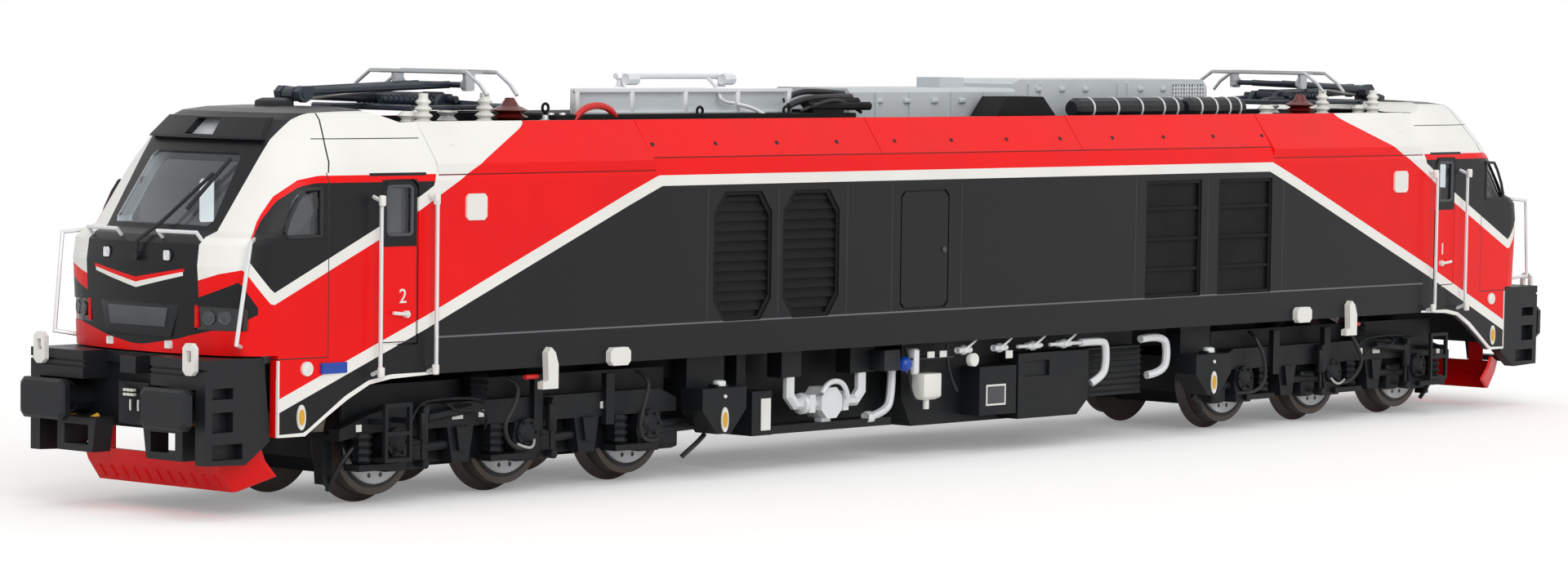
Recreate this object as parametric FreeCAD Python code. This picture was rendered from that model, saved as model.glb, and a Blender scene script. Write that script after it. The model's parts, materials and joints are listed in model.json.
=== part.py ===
"""Scale model of a six-axle electric locomotive, 1:87, built as separate pieces in millimetres.

X runs along the locomotive, Y across it and Z up. The origin is midway along and across, at the
lowest point of the wheel flanges. Heights named here are measured above the rail top, and up()
turns such a height into Z by adding the flange depth. Most pieces are drawn at the +X end or on
the +Y side and mirrored to the other end or side.
"""
import FreeCAD
import Part
import math
import os

V = FreeCAD.Vector

# Wheels and running gear
flange_depth = 1.0            # flange below the rail top, which lifts the whole model
tread_radius = 6.13
wheel_back_to_back = 14.4
wheel_width = 2.8
flange_width = 0.8
axle_radius = 1.0
axle_clearance = 0.06
pivot_x = 79.9                # bogie pivot from the middle of the locomotive
axle_spacing = 20.7           # between neighbouring axles of one bogie
bogie_overhang = 8.5          # side frame past the outer axle
bogie_tail = 5.0              # side frame past the inner axle
side_frame_y = 11.6           # inner face of a bogie side frame
side_frame_thick = 1.7
side_frame_low = 7.4
side_frame_high = 10.2
gearbox_width = 11.6
gearbox_low = 2.3
gearbox_high = 11.4
gearbox_shoulder = 1.6        # ends of the housing below its middle
gearbox_overhang = 4.5        # gear housing past the outer axles
cross_bar = 2.0
pivot_radius = 3.2
pivot_pin_radius = 1.5
pivot_pin_length = 2.8
pivot_clearance = 0.06
lift_clearance = 0.05         # between the gear housing and the pivot boss
spring_offset = 4.7           # coil spring from its axle, outboard
spring_radius = 1.3
spring_core = 0.95
spring_low = 3.9
spring_turns = 4
upper_spring_offset = 7.2     # spring between bogie and body, from the pivot
upper_spring_radius = 1.8
upper_spring_gap = 0.6        # below the sole
damper_offsets = (-1.7, -13.7)
seat_thick = 0.7
axlebox_width = 4.4
axlebox_low = 2.9
link_width = 4.2              # hanging link between two axles
link_low = 3.3
ladder_offset = 22.7          # step ladder below the cab door, from the bogie pivot
ladder_width = 4.2
ladder_low = 4.2
ladder_high = 10.8
ladder_bar = 0.45
ladder_y = 15.6
guard_low = 1.6

# Body
body_width = 32.88
sole_height = 13.9
side_top = 35.6
wall = 1.0
eave_rise = 2.1
eave_inset = 0.57
roof_rise = 4.35
roof_edge_inset = 3.75
roof_floor_drop = 0.85
roof_coaming = 1.1
roof_thick = 1.0
hood_lap = 1.5                # the end hoods hang lower than the middle hatches
hood_proud = 0.35
panel_gap = 0.12
cab_joint_x = 97.1
taper_start = 1.9             # the cab side draws in from here to the nose
taper_slope = 0.0555
roof_joint_x = 61.5
hatch_joint_x = 20.0
nose_x = 127.5
belt_drop = 5.4               # foot of the windscreen below the side top
nose_lift = 2.9               # flat underside of the nose above the sole
skirt_drop = 6.1              # cab skirt below the sole
skirt_front_setback = 7.3
visor_proud = 0.45

# Openings in the body
door_width = 5.6
door_centre_x = 102.9
groove_width = 0.22
groove_depth = 0.25
window_floor = 6.4            # foot of the cab windows below the side top
door_window_width = 3.6
side_window_x = 114.2
side_window_width = 5.0
windscreen_width = 16.0
windscreen_height = 7.9
top_lamp_width = 4.6
pane_thick = 0.6
pane_inset = 0.2
cluster_width = 7.84
cluster_depth = 3.9
cluster_height = 2.9
service_door_x = -12.3
service_door_width = 9.4
grille_foot = 4.1             # grilles above the sole
grille_head = 2.1             # grilles below the side top
grille_round_x = (-46.2, -33.8)
grille_round_width = 10.4
grille_plain_x = (39.0, 54.9)
grille_plain_width = 12.1
grille_chamfer_x = 1.9
grille_chamfer_z = 2.5
grille_depth = 0.7
grille_inset = 0.15
louvre_pitch = 1.15
grille_bar = 0.45

# Underframe and cab
plate_thick = 1.5
fit_gap = 0.3
keel_half_width = 5.8         # centre girder of the underframe, between the wheels
keel_clearance = 0.8          # above the shoulder of the gear housings
wheel_well_gap = 0.6          # room round a wheel in the plate, where the plate comes that low
wheel_well_side = 1.4
keel_reach = 72.0
tongue_inset = 3.64           # ends of the underframe from the side of the cab
block_inset = 3.94            # ballast block from the inside of the side wall
block_headroom = 5.1
desk_depth = 4.2

# Ends
buffer_face_x = 132.3
buffer_y = 10.06
buffer_height = 11.2
buffer_head_width = 7.6
buffer_head_height = 4.5
buffer_corner = 0.6
buffer_head_thick = 1.0
buffer_shank_radius = 1.5
buffer_collar_radius = 1.9
collar_clearance = 0.08
beam_front_x = 130.0
beam_half_width = 14.5
deck_gap = 0.2                # deck under the flat underside of the nose
beam_back_x = 121.4
beam_below_buffers = 3.0
deck_thick = 1.3
step_plate = 1.6
plough_low = 1.7
plough_half_width = 11.0
plough_wing = 1.8
plough_thick = 0.7
rail_radius = 0.24
rail_stand = 1.35
lamp_iron_y = 12.4

# Pantographs: both arms are equally long, so the head rises straight
panto_pivot_x = 82.1
panto_pivot_lift = 3.1        # lower arm pivot above the roof floor
panto_reach = 22.2            # knee from the pivot
knee_lift = 3.7
head_lift = 4.8
strip_rise = 1.5              # carbon strips above the head pivot
strip_spacing = 4.9
strip_half = 8.0
horn_reach = 11.3
horn_drop = 2.6
panto_frame_lift = 1.9
panto_tube = 0.35
panto_tube_step = 0.07
panto_shaft = 0.4
panto_pin = 0.35
pin_clearance = 0.05
post_outer = (11.3, 7.6)      # insulators under the base, from the pivot and from the centre
post_inner = (-7.5, 5.2)
insulator_radius = 1.25
insulator_core = 0.6          # core of a shed as a share of its radius

# Roof equipment
tray_x = (-73.0, -19.5)
tray_gap = 0.59               # tray from the upright edge of the roof floor
tray_height = 1.4
shroud_x = (-66.2, -27.6)
shroud_half_width = 7.6
shroud_height = 3.0
shroud_draft = 0.7
shroud_pockets = 4
fan_radius = 5.6
bus_lift = 1.3
bus_radius = 0.38
duct_x = (-14.5, 18.6)
duct_gap = 1.4                # case from the silencer
duct_edge = 4.59              # case from the other edge of the roof floor
duct_height = 4.3
case_x = (18.6, 61.0)
case_setback = 0.6            # tall case behind the face of the long one
case_height = 5.4
case_mesh_x = (53.0, 60.2)
tank_radius = 1.45
tank_gap = 2.69               # tank line from the edge of the roof floor
tank_x = ((26.2, 49.6), (50.6, 63.6))
hood_x = (7.0, 21.0)
hood_gap = 0.39               # silencer from the edge of the roof floor
hood_width = 4.2
hood_height = 3.3
pipes_x = (-29.5, -15.2)
breaker_setback = 4.1         # brown insulator inboard of the pantograph pivot
breaker_gap = 3.09            # from the edge of the roof floor
breaker_radius = 2.2
roof_gap = 0.12

# Underfloor equipment
case_low = 3.0
tank_body_x = (-10.5, 37.0)
tank_half_width = 11.4
pump_case_x = (-46.0, -10.0)  # narrower case behind the coolant pump
pump_post_depth = 3.4         # post of the pump tray inboard of the pump
pump_case_gap = 1.0           # case behind that post
cabinet_drop = 2.3            # cabinets below the sole
cabinet_step = 1.4            # first cabinet below the others
cabinet_depth = 3.2           # side cabinets stand out from the case
cabinet_one_x = (1.2, 8.6)
cabinet_two_x = (9.0, 23.6)
vent_x = (24.8, 36.0)
vent_setback = 0.8            # vent cabinet behind the other two
vent_slats = 8
hopper_x = 48.8
hopper_width = 7.8
hopper_face_y = 16.2
hopper_depth = 3.6
pump_x = -26.6
pump_offset = 1.0             # pump outside the face of the case
pump_drop = 6.9               # pump below the sole
pump_radius = 1.9
pipe_radius = 0.75
pump_stand = 2.4              # pump above its tray
jack_x = 79.4
filler_x = 68.0
marker_x = 91.3

OUT = "parts"
BOTH = (-1, 1)

# Sizes that follow from the ones above
half_width = body_width / 2
cluster_inner_y = half_width - cluster_width
floor_half = half_width - roof_edge_inset - roof_coaming
tray_half_width = floor_half - tray_gap
tank_y = tank_gap - floor_half
breaker_y = breaker_gap - floor_half
hood_y = (hood_gap - floor_half, hood_gap - floor_half + hood_width)
duct_y = (hood_y[1] + duct_gap, floor_half - duct_edge)
case_y = (duct_y[0] + case_setback, duct_y[1])
cabinet_face_y = tank_half_width + cabinet_depth
vent_face_y = cabinet_face_y - vent_setback
pump_y = tank_half_width + pump_offset
pump_height = sole_height - pump_drop
pump_floor = pump_height - pump_stand
cabinet_head = sole_height - cabinet_drop
pump_case_half = pump_y - pump_post_depth - pump_case_gap
eave_height = side_top + eave_rise
roof_edge_height = eave_height + roof_rise
roof_floor_height = roof_edge_height - roof_floor_drop
hood_bottom = eave_height - hood_lap
belt_height = side_top - belt_drop
nose_bottom = sole_height + nose_lift
skirt_bottom = sole_height - skirt_drop
beam_top = nose_bottom - deck_gap
beam_low = buffer_height - beam_below_buffers
taper_x = cab_joint_x + taper_start
skirt_front_x = nose_x - skirt_front_setback
bogie_reach = axle_spacing + bogie_overhang
axle_height = tread_radius
wheel_top = 2 * tread_radius + flange_depth
keel_low = gearbox_high - gearbox_shoulder + keel_clearance
grille_low = sole_height + grille_foot
grille_high = side_top - grille_head
window_low = side_top - window_floor
panto_pivot_height = roof_floor_height + panto_pivot_lift
knee_x = panto_pivot_x + panto_reach
knee_height = roof_floor_height + knee_lift
head_x = panto_pivot_x
head_height = roof_floor_height + head_lift
strip_height = head_height + strip_rise
panto_frame_low = roof_floor_height + panto_frame_lift


def up(height):
    """Z of a height above the rail top."""
    return flange_depth + height


def box(x0, x1, y0, y1, z0, z1):
    """Block between two corners; the order of each pair doesn't matter."""
    x0, x1 = sorted((x0, x1))
    y0, y1 = sorted((y0, y1))
    z0, z1 = sorted((z0, z1))
    return Part.makeBox(x1 - x0, y1 - y0, z1 - z0, V(x0, y0, z0))


def prism_xz(points, y0, y1):
    """Outline in X and Z carried along Y from y0 to y1."""
    face = Part.Face(Part.makePolygon([V(x, y0, z) for x, z in points + points[:1]]))
    return face.extrude(V(0, y1 - y0, 0))


def prism_yz(points, x0, x1):
    """Outline in Y and Z carried along X from x0 to x1."""
    face = Part.Face(Part.makePolygon([V(x0, y, z) for y, z in points + points[:1]]))
    return face.extrude(V(x1 - x0, 0, 0))


def prism_xy(points, z0, z1):
    """Outline in X and Y carried up from z0 to z1."""
    face = Part.Face(Part.makePolygon([V(x, y, z0) for x, y in points + points[:1]]))
    return face.extrude(V(0, 0, z1 - z0))


def clipped(a0, a1, b0, b1, cut, cut_b=None):
    """Rectangle outline with its four corners cut off."""
    cb = cut if cut_b is None else cut_b
    a0, a1 = sorted((a0, a1))
    return [(a0 + cut, b0), (a1 - cut, b0), (a1, b0 + cb), (a1, b1 - cb), (a1 - cut, b1),
            (a0 + cut, b1), (a0, b1 - cb), (a0, b0 + cb)]


def rod(start, end, radius):
    """Round bar between two points."""
    a, b = V(*start), V(*end)
    return Part.makeCylinder(radius, (b - a).Length, a, b - a)


def skin(rings):
    """Solid with flat faces through rings of points, closed at both ends."""
    faces = [Part.Face(Part.makePolygon(ring + ring[:1])) for ring in (rings[0], rings[-1])]
    count = len(rings[0])
    for lower, upper in zip(rings, rings[1:]):
        for n in range(count):
            m = (n + 1) % count
            loop = [lower[n], lower[m], upper[m], upper[n], lower[n]]
            faces.append(Part.Face(Part.makePolygon(loop)))
    shell = Part.makeShell(faces)
    shell.sewShape()
    solid = Part.makeSolid(shell)
    if solid.Volume < 0:
        solid.reverse()
    return solid


def ring_at(centre, along, radius, sides):
    """Points of a regular polygon round a centre, square to a direction."""
    across = along.cross(V(0, 0, 1)) if abs(along.z) < 0.9 else along.cross(V(0, 1, 0))
    across.normalize()
    lift = along.cross(across)
    turns = [2 * math.pi * (n + 0.5) / sides for n in range(sides)]
    return [centre + across * (radius * math.cos(t)) + lift * (radius * math.sin(t)) for t in turns]


def turned(profile, start, along, sides=8):
    """Many-sided turned piece through (radius, distance) pairs along a straight line."""
    return skin([ring_at(start + along * d, along, r, sides) for r, d in profile])


def drum(start, end, radius, sides=12):
    """Many-sided bar between two points."""
    a, b = V(*start), V(*end)
    return turned([(radius, 0), (radius, (b - a).Length)], a, (b - a).normalize(), sides)


def bar(points, radius, sides=6):
    """Slim bar along a path, with mitred bends and a many-sided section."""
    spots = [V(*p) for p in points]
    runs = [(b - a).normalize() for a, b in zip(spots, spots[1:])]
    rings = [ring_at(spots[0], runs[0], radius, sides)]
    for n, corner in enumerate(spots[1:]):
        mitre = runs[n] + runs[n + 1] if n + 1 < len(runs) else runs[n]
        here = []
        for p in rings[-1]:
            reach = (corner - p).dot(mitre) / runs[n].dot(mitre)
            here.append(p + runs[n] * reach)
        rings.append(here)
    return skin(rings)


def revolve_y(profile, x, z):
    """Turns a profile of (radius, y) pairs about the line along Y through x, z."""
    pts = [V(x, y, z + r) for r, y in profile]
    face = Part.Face(Part.makePolygon(pts + pts[:1]))
    return face.revolve(V(x, 0, z), V(0, 1, 0), 360)


def column(profile, x, y, sides=8):
    """Upright many-sided column through (radius, z) pairs."""
    return turned(profile, V(x, y, 0), V(0, 0, 1), sides)


def fuse(shapes):
    """One solid from touching or overlapping shapes."""
    shapes = list(shapes)
    made = shapes[0].fuse(shapes[1:]) if len(shapes) > 1 else shapes[0]
    return made.removeSplitter()


def group(shapes):
    """Separate solids that share a node."""
    return Part.makeCompound([s for shape in shapes for s in shape.Solids])


def flip_x(shape):
    """The same piece at the other end."""
    return shape.mirror(V(0, 0, 0), V(1, 0, 0))


def flip_y(shape):
    """The same piece on the other side."""
    return shape.mirror(V(0, 0, 0), V(0, 1, 0))


def both_sides(shapes):
    """Each shape and its mirror across the centre line."""
    return [m for s in shapes for m in (s, flip_y(s))]


# Cab levels: height, nose setback, half width inset, length of the corner along X, and where the
# corner starts as a share of the half width. Above the belt the long corners draw in to the pillars.
cab_levels = [
    (skirt_bottom, 0.9, 0.0, 6.0, 0.678),
    (nose_bottom, 0.6, 0.0, 6.0, 0.678),
    (belt_height - 3.7, 0.0, 0.0, 6.0, 0.678),
    (belt_height - 1.4, 0.3, 0.0, 6.2, 0.67),
    (belt_height - 0.6, 1.2, 0.0, 6.6, 0.65),
    (belt_height, 2.8, 0.0, 7.2, 0.62),
    (side_top, 6.45, 0.0, 9.4, 0.59),
    (eave_height, 7.85, eave_inset, 9.8, 0.60),
    (eave_height + 2.4, 9.5, 2.34, 9.6, 0.66),
    (eave_height + 4.6, 11.7, 3.9, 8.8, 0.70),
    (eave_height + 5.3, 13.0, 4.6, 8.2, 0.70),
    (eave_height + 5.7, 15.4, 6.4, 7.0, 0.70),
    (eave_height + 5.9, 18.5, 9.4, 6.0, 0.70),
]
front_bow = 1.2               # how far the nose bows forward between its corners


def cab_ring(z, nose, width, corner, share, back_x):
    """Plan outline of the cab at one level: straight side, tapered side, corner and bowed front."""
    corner_x = nose - corner
    side = width - taper_slope * (corner_x - taper_x)
    front_y = share * side
    slope = 2 * front_bow / front_y
    end = V(nose - front_bow, front_y, z)
    start = V(corner_x, side, z)
    reach = (corner - front_bow) * 0.62
    pull = (side - front_y) * 0.45
    poles = [start, start + V(reach, -taper_slope * reach, 0), end + V(-slope * pull, pull, 0), end]

    def mirrored(p):
        return V(p.x, -p.y, p.z)

    right, left = Part.BezierCurve(), Part.BezierCurve()
    right.setPoles(poles)
    left.setPoles([mirrored(p) for p in reversed(poles)])
    back, bend = V(back_x, width, z), V(taper_x, width, z)
    edges = [
        Part.LineSegment(back, bend).toShape(),
        Part.LineSegment(bend, start).toShape(),
        right.toShape(),
        Part.Arc(end, V(nose, 0, z), mirrored(end)).toShape(),
        left.toShape(),
        Part.LineSegment(mirrored(start), mirrored(bend)).toShape(),
        Part.LineSegment(mirrored(bend), mirrored(back)).toShape(),
        Part.LineSegment(mirrored(back), back).toShape(),
    ]
    return Part.Wire(edges)


def cab_solid(inset, back_x):
    """Solid cab, drawn in by inset on every face."""
    crown = cab_levels[-1][0]
    rings = []
    for height, setback, narrow, corner, share in cab_levels:
        climb = max(0.0, (height - side_top) / (crown - side_top))
        z = up(height) - inset * climb
        lean = inset * (1.0 + 0.25 * climb)
        rings.append(cab_ring(z, nose_x - setback - lean, half_width - narrow - inset, corner, share,
                              back_x))
    return Part.makeLoft(rings, True, True)


def cab_cavity(back_x):
    """Plain-sided hollow of the cab, one wall in from the outside."""
    crown = eave_height + 5.9 - wall * 1.3
    levels = [(skirt_bottom - 3.0, 1.3, 0.0), (belt_height - 1.6, 1.1, 0.0), (belt_height - 0.3, 3.6, 0.1),
              (side_top, 7.4, 0.1), (eave_height, 9.0, 0.8), (eave_height + 2.4, 10.8, 2.7),
              (eave_height + 4.0, 13.4, 4.4), (crown, 20.5, 10.4)]
    rings = []
    for height, setback, narrow in levels:
        nose = nose_x - setback - wall
        side = half_width - narrow - wall
        long = height > belt_height
        corner = nose - (8.6 if long else 5.4)
        taper = side - taper_slope * (corner - taper_x)
        half = [V(back_x, side, 0), V(taper_x, side, 0), V(corner, taper, 0),
                V(nose - (3.8 if long else 2.4), taper * (0.78 if long else 0.84), 0),
                V(nose - 0.9, taper * 0.52, 0)]
        loop = half + [V(p.x, -p.y, 0) for p in reversed(half)]
        rings.append(Part.makePolygon([V(p.x, p.y, up(height)) for p in loop + loop[:1]]))
    return Part.makeLoft(rings, True, True)


# Openings of the cab at the +X end
def windscreen_prism():
    low, high = up(belt_height + 0.5), up(belt_height + 0.5 + windscreen_height)
    foot, head, cut = windscreen_width / 2, windscreen_width / 2 - 0.7, 0.6
    pts = [(-foot + cut, low), (foot - cut, low), (foot, low + cut), (head, high - cut),
           (head - cut, high), (-head + cut, high), (-head, high - cut), (-foot, low + cut)]
    return prism_yz(pts, nose_x - 17.5, nose_x + 2.5)


def lamp_prism():
    low, high = up(eave_height + 2.8), up(eave_height + 4.6)
    foot, head = top_lamp_width / 2, top_lamp_width / 2 - 0.4
    return prism_yz([(-foot, low), (foot, low), (head, high), (-head, high)], nose_x - 15.5, nose_x - 6)


def side_window_prisms():
    low, high = up(window_low + 0.5), up(side_top - 0.8)
    a, b = side_window_x, side_window_x + side_window_width
    front = [(a, low), (b - 0.4, low), (b, low + 0.4), (b - 0.5, low + 2.0), (b - 1.7, low + 3.9),
             (b - 2.8, high), (a, high)]
    half = door_window_width / 2
    door = clipped(door_centre_x - half, door_centre_x + half, low, high + 0.1, 0.4)
    far = half_width + 4
    return [prism_xz(front, -far, far), prism_xz(door, -far, far)]


def cluster_prism(side):
    """Block that marks out one headlamp cluster at a corner of the nose."""
    low = up(nose_bottom + 2.7)
    back = nose_x - cluster_depth
    pts = [(back, low), (nose_x + 2.5, low), (nose_x + 2.5, low + cluster_height),
           (back, low + cluster_height - 0.5)]
    return prism_xz(pts, side * cluster_inner_y, side * (half_width + 1))


def skirt_outline():
    """Space below the sole and behind the cab skirt."""
    front = skirt_front_x - 3.9
    curve = [(cab_joint_x, sole_height), (front - 12.3, sole_height - 0.3),
             (front - 9.2, sole_height - 0.8), (front - 6.1, sole_height - 2.3),
             (front - 3.1, sole_height - 4.1), (front, skirt_bottom)]
    return [(x, up(z)) for x, z in curve] + [(front, up(0)), (cab_joint_x, up(0))]


def outline_groove(outline, face_y):
    """Shallow groove round an outline in the body side, for a door or panel gap."""
    outer = prism_xz(outline, face_y - groove_depth, face_y + 2)
    cx = sum(x for x, z in outline) / len(outline)
    cz = sum(z for x, z in outline) / len(outline)
    inner = [(x - math.copysign(groove_width, x - cx), z - math.copysign(groove_width, z - cz))
             for x, z in outline]
    return outer.cut(prism_xz(inner, face_y - groove_depth - 1, face_y + 3))


def door_outline():
    low, high = up(sole_height + 3.4), up(side_top + 0.2)
    half = door_width / 2
    a, b = door_centre_x - half, door_centre_x + half
    return [(a, low), (b, low), (b, high - 0.8), (b - 0.8, high), (a + 0.8, high), (a, high - 0.8)]


def service_outline():
    half = service_door_width / 2
    return clipped(service_door_x - half, service_door_x + half, up(grille_low + 0.3),
                   up(grille_high - 0.4), 0.7)


def all_grilles():
    """Grilles of one side: the first pair is eight-sided, the second pair plain."""
    made = []
    for x in grille_round_x:
        made.append((x - grille_round_width / 2, x + grille_round_width / 2, True))
    for x in grille_plain_x:
        made.append((x - grille_plain_width / 2, x + grille_plain_width / 2, False))
    return made


def grille_outline(x0, x1, chamfered, shrink=0.0):
    a, b = x0 + shrink, x1 - shrink
    low, high = up(grille_low) + shrink, up(grille_high) - shrink
    if chamfered:
        return clipped(a, b, low, high, grille_chamfer_x, grille_chamfer_z)
    return [(a, low), (b, low), (b, high), (a, high)]


def middle_wall(side):
    """Side wall between the cabs, notched under the end hoods."""
    outer, inner = half_width, half_width - wall
    pts = [(side * outer, up(sole_height)), (side * outer, up(side_top)),
           (side * (outer - eave_inset), up(eave_height)), (side * (inner - eave_inset), up(eave_height)),
           (side * inner, up(side_top)), (side * inner, up(sole_height))]
    made = prism_yz(pts, -cab_joint_x, cab_joint_x)
    notches = [box(end * roof_joint_x, end * cab_joint_x, side * half_width * 0.6, side * (half_width + 4),
                   up(hood_bottom), up(eave_height) + 1) for end in BOTH]
    return made.cut(notches)


def visor():
    """Raised hood plate over the windscreen, round the top lamp."""
    low, high = up(eave_height + 2.4), up(eave_height + 4.8)
    pts = [(-9.2, low), (9.2, low), (8.0, high), (-8.0, high)]
    plate = prism_yz(pts, nose_x - 16, nose_x - 4)
    return cab_solid(-visor_proud, cab_joint_x).common(plate)


def cab_shell():
    """Hollow cab at the +X end with its window openings, skirt and rear roof step."""
    shell = cab_solid(0.0, cab_joint_x).fuse(visor())
    shell = shell.cut(cab_cavity(cab_joint_x - 5))
    far = half_width + 4
    shell = shell.cut(box(skirt_front_x, nose_x + 12, -far, far, up(0), up(nose_bottom)))
    shell = shell.cut(prism_xz(skirt_outline(), -far, far))
    step = [(cab_joint_x - 1, up(roof_edge_height)), (cab_joint_x + 2.6, up(roof_edge_height - 0.1)),
            (cab_joint_x + 6.2, up(eave_height + 5.5)), (cab_joint_x + 7.3, up(eave_height + 8)),
            (cab_joint_x - 1, up(eave_height + 8))]
    shell = shell.cut(prism_xz(step, -far, far))
    shell = shell.cut([windscreen_prism(), lamp_prism()] + side_window_prisms())
    shell = shell.cut([cluster_prism(side) for side in BOTH])
    grooves = outline_groove(door_outline(), half_width - 0.15)
    return shell.cut([grooves, flip_y(grooves)])


def body_shell():
    """The moulded body: both cabs and the side walls between them, with the grille recesses."""
    cab = cab_shell()
    walls = [middle_wall(side) for side in BOTH]
    shell = fuse(walls + [cab, flip_x(cab)])
    cuts = []
    for x0, x1, chamfered in all_grilles():
        cut = prism_xz(grille_outline(x0, x1, chamfered), half_width - wall - 1, half_width + 1)
        cuts += [cut, flip_y(cut)]
    groove = outline_groove(service_outline(), half_width)
    cuts += [groove, flip_y(groove)]
    return shell.cut(cuts)


def louvre_field(x0, x1):
    """Downward-facing louvres as one sawtooth sheet across a grille."""
    face = half_width - grille_inset - 0.15
    back = half_width - grille_inset - grille_depth
    low, high = up(grille_low), up(grille_high)
    count = int(round((high - low) / louvre_pitch))
    pitch = (high - low) / count
    pts = [(back, low)]
    for n in range(count):
        pts += [(face, low + n * pitch), (back + 0.25, low + (n + 0.72) * pitch),
                (back + 0.25, low + (n + 1) * pitch)]
    pts.append((back, high))
    return prism_yz(pts, x0, x1)


def side_grilles():
    """Inserts in the openings of the body side: louvred and eight-sided, or framed in three panels."""
    made = []
    face = half_width - grille_inset
    back = face - grille_depth
    for x0, x1, chamfered in all_grilles():
        whole = prism_xz(grille_outline(x0, x1, chamfered), back, face)
        inner = prism_xz(grille_outline(x0, x1, chamfered, grille_bar), back - 1, face + 1)
        frame = whole.cut(inner)
        if chamfered:
            made.append(fuse([frame, louvre_field(x0, x1).common(whole)]))
            continue
        sheet = prism_xz(grille_outline(x0, x1, chamfered), back, back + 0.3)
        height = grille_high - grille_low
        bars = [box(x0, x1, back, face - 0.1, up(grille_low + height * share) - grille_bar / 2,
                    up(grille_low + height * share) + grille_bar / 2) for share in (0.24, 0.5, 0.76)]
        made.append(fuse([frame, sheet] + bars))
    return group(both_sides(made))


def roof_section(bottom, proud):
    """Outline of a roof piece in Y and Z: sloping flanks and a sunken floor."""
    slope = (roof_edge_inset - eave_inset) / roof_rise
    foot = half_width - eave_inset + proud
    top_y = half_width - roof_edge_inset
    inner_foot = half_width - wall - eave_inset
    right = [(foot, bottom)]
    inside = []
    if bottom < eave_height:
        right.append((foot, eave_height - 0.3))
        inside.append((inner_foot, bottom))
    right += [(top_y, roof_edge_height), (top_y - roof_coaming, roof_edge_height),
              (top_y - roof_coaming, roof_floor_height)]
    under = roof_floor_height - roof_thick
    inside += [(inner_foot, eave_height), (inner_foot - slope * (under - eave_height) - 0.2, under)]
    pts = right + [(-y, z) for y, z in reversed(right)]
    pts += [(-y, z) for y, z in inside] + [(y, z) for y, z in reversed(inside)]
    return [(y, up(z)) for y, z in pts]


def roof_piece(x0, x1, bottom, proud):
    """One removable roof section between two cross joints."""
    half_gap = panel_gap / 2
    return prism_yz(roof_section(bottom, proud), x0 + half_gap, x1 - half_gap)


def wheel_wells():
    """Room over every wheel, for the bogies to swing in."""
    y0 = wheel_back_to_back / 2 - wheel_well_side
    y1 = wheel_back_to_back / 2 + wheel_width + wheel_well_side
    radius = tread_radius + flange_depth + wheel_well_gap
    wells = []
    for end in BOTH:
        for n in (-1, 0, 1):
            x = end * pivot_x + n * axle_spacing
            wells += both_sides([rod((x, y0, up(axle_height)), (x, y1, up(axle_height)), radius)])
    return wells


def underframe():
    """Cast underframe with the ballast and motor block that fills the body between the cabs."""
    low, high = up(sole_height), up(sole_height + plate_thick)
    inner = half_width - wall - fit_gap
    end_x = cab_joint_x - 0.6
    plate = box(-end_x, end_x, -inner, inner, low, high)
    b, cut = half_width - wall - block_inset, 2.0
    top = up(side_top - block_headroom)
    block = prism_yz([(-b, high - 0.1), (b, high - 0.1), (b, top - cut), (b - cut, top),
                      (-b + cut, top), (-b, top - cut)], -end_x + 12.5, end_x - 12.5)
    tongue = half_width - tongue_inset
    ends = [prism_xy([(end * end_x, -inner), (end * end_x, inner), (end * beam_back_x, tongue),
                      (end * beam_back_x, -tongue)], low + 0.7, high + 0.4) for end in BOTH]
    steps = [box(end * (end_x - 2), end * end_x, -inner, inner, high - 0.1, high + 0.4) for end in BOTH]
    boss_foot = up(gearbox_high) + lift_clearance
    pin_foot = up(gearbox_high) - pivot_pin_length
    posts = []
    for end in BOTH:
        posts.append(Part.makeCylinder(pivot_radius, low - boss_foot, V(end * pivot_x, 0, boss_foot)))
        posts.append(Part.makeCylinder(pivot_pin_radius, low - pin_foot, V(end * pivot_x, 0, pin_foot)))
    keels = [box(-keel_reach, pump_case_x[0] - fit_gap, -keel_half_width, keel_half_width,
                 up(keel_low), low + 0.1),
             box(tank_body_x[1] + fit_gap, keel_reach, -keel_half_width, keel_half_width,
                 up(keel_low), low + 0.1)]
    made = fuse([plate, block] + ends + steps + posts + keels)
    return made.cut(wheel_wells()) if wheel_top + wheel_well_gap > sole_height else made


def cab_interior():
    """Rear wall, floor, driving desk and seat behind the glass of the +X cab."""
    floor_low = up(sole_height + plate_thick + 0.4)
    floor_top = floor_low + 0.8
    half = half_width - wall - 0.54
    rear = box(cab_joint_x + 0.3, cab_joint_x + 1.1, -half, half, floor_low, up(side_top - 0.6))
    front = nose_x - 7.7
    desk_top = up(belt_height - 1.1)
    side = half - 3.3
    desk = prism_xz([(front - 0.4, floor_low), (front + 0.4, floor_low),
                     (front + 0.8, floor_top + 0.4), (front + desk_depth, floor_top + 0.4),
                     (front + desk_depth - 0.4, desk_top - 0.6), (front - 1.2, desk_top),
                     (front - 2.6, desk_top - 1.6), (front - 0.4, desk_top - 2.6)], -side, side)
    corners = [prism_xy([(front + 1.6, s * side), (front + 5, s * side), (front + 5, s * side * 0.6)],
                        floor_low, desk_top + 1) for s in BOTH]
    desk = desk.cut(corners)
    floor = box(cab_joint_x + 1.1, front + 0.5, -side - 1.2, side + 1.2, floor_low, floor_top)
    seat_x = front - 10.5
    back = floor_top + 6.8
    seat = fuse([box(seat_x, seat_x + 4, -2.3, 2.3, floor_top, back),
                 prism_xz([(seat_x, back), (seat_x + 1.2, back), (seat_x + 0.4, back + 7.8),
                           (seat_x - 0.6, back + 7.8)], -2.2, 2.2)])
    return fuse([rear, floor, desk, seat])


def glass_skin():
    """Thin skin just inside the outer face of the cab, from which panes are taken."""
    back = cab_joint_x - 5
    return cab_solid(pane_inset, cab_joint_x).cut(cab_solid(pane_inset + pane_thick, back))


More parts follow.
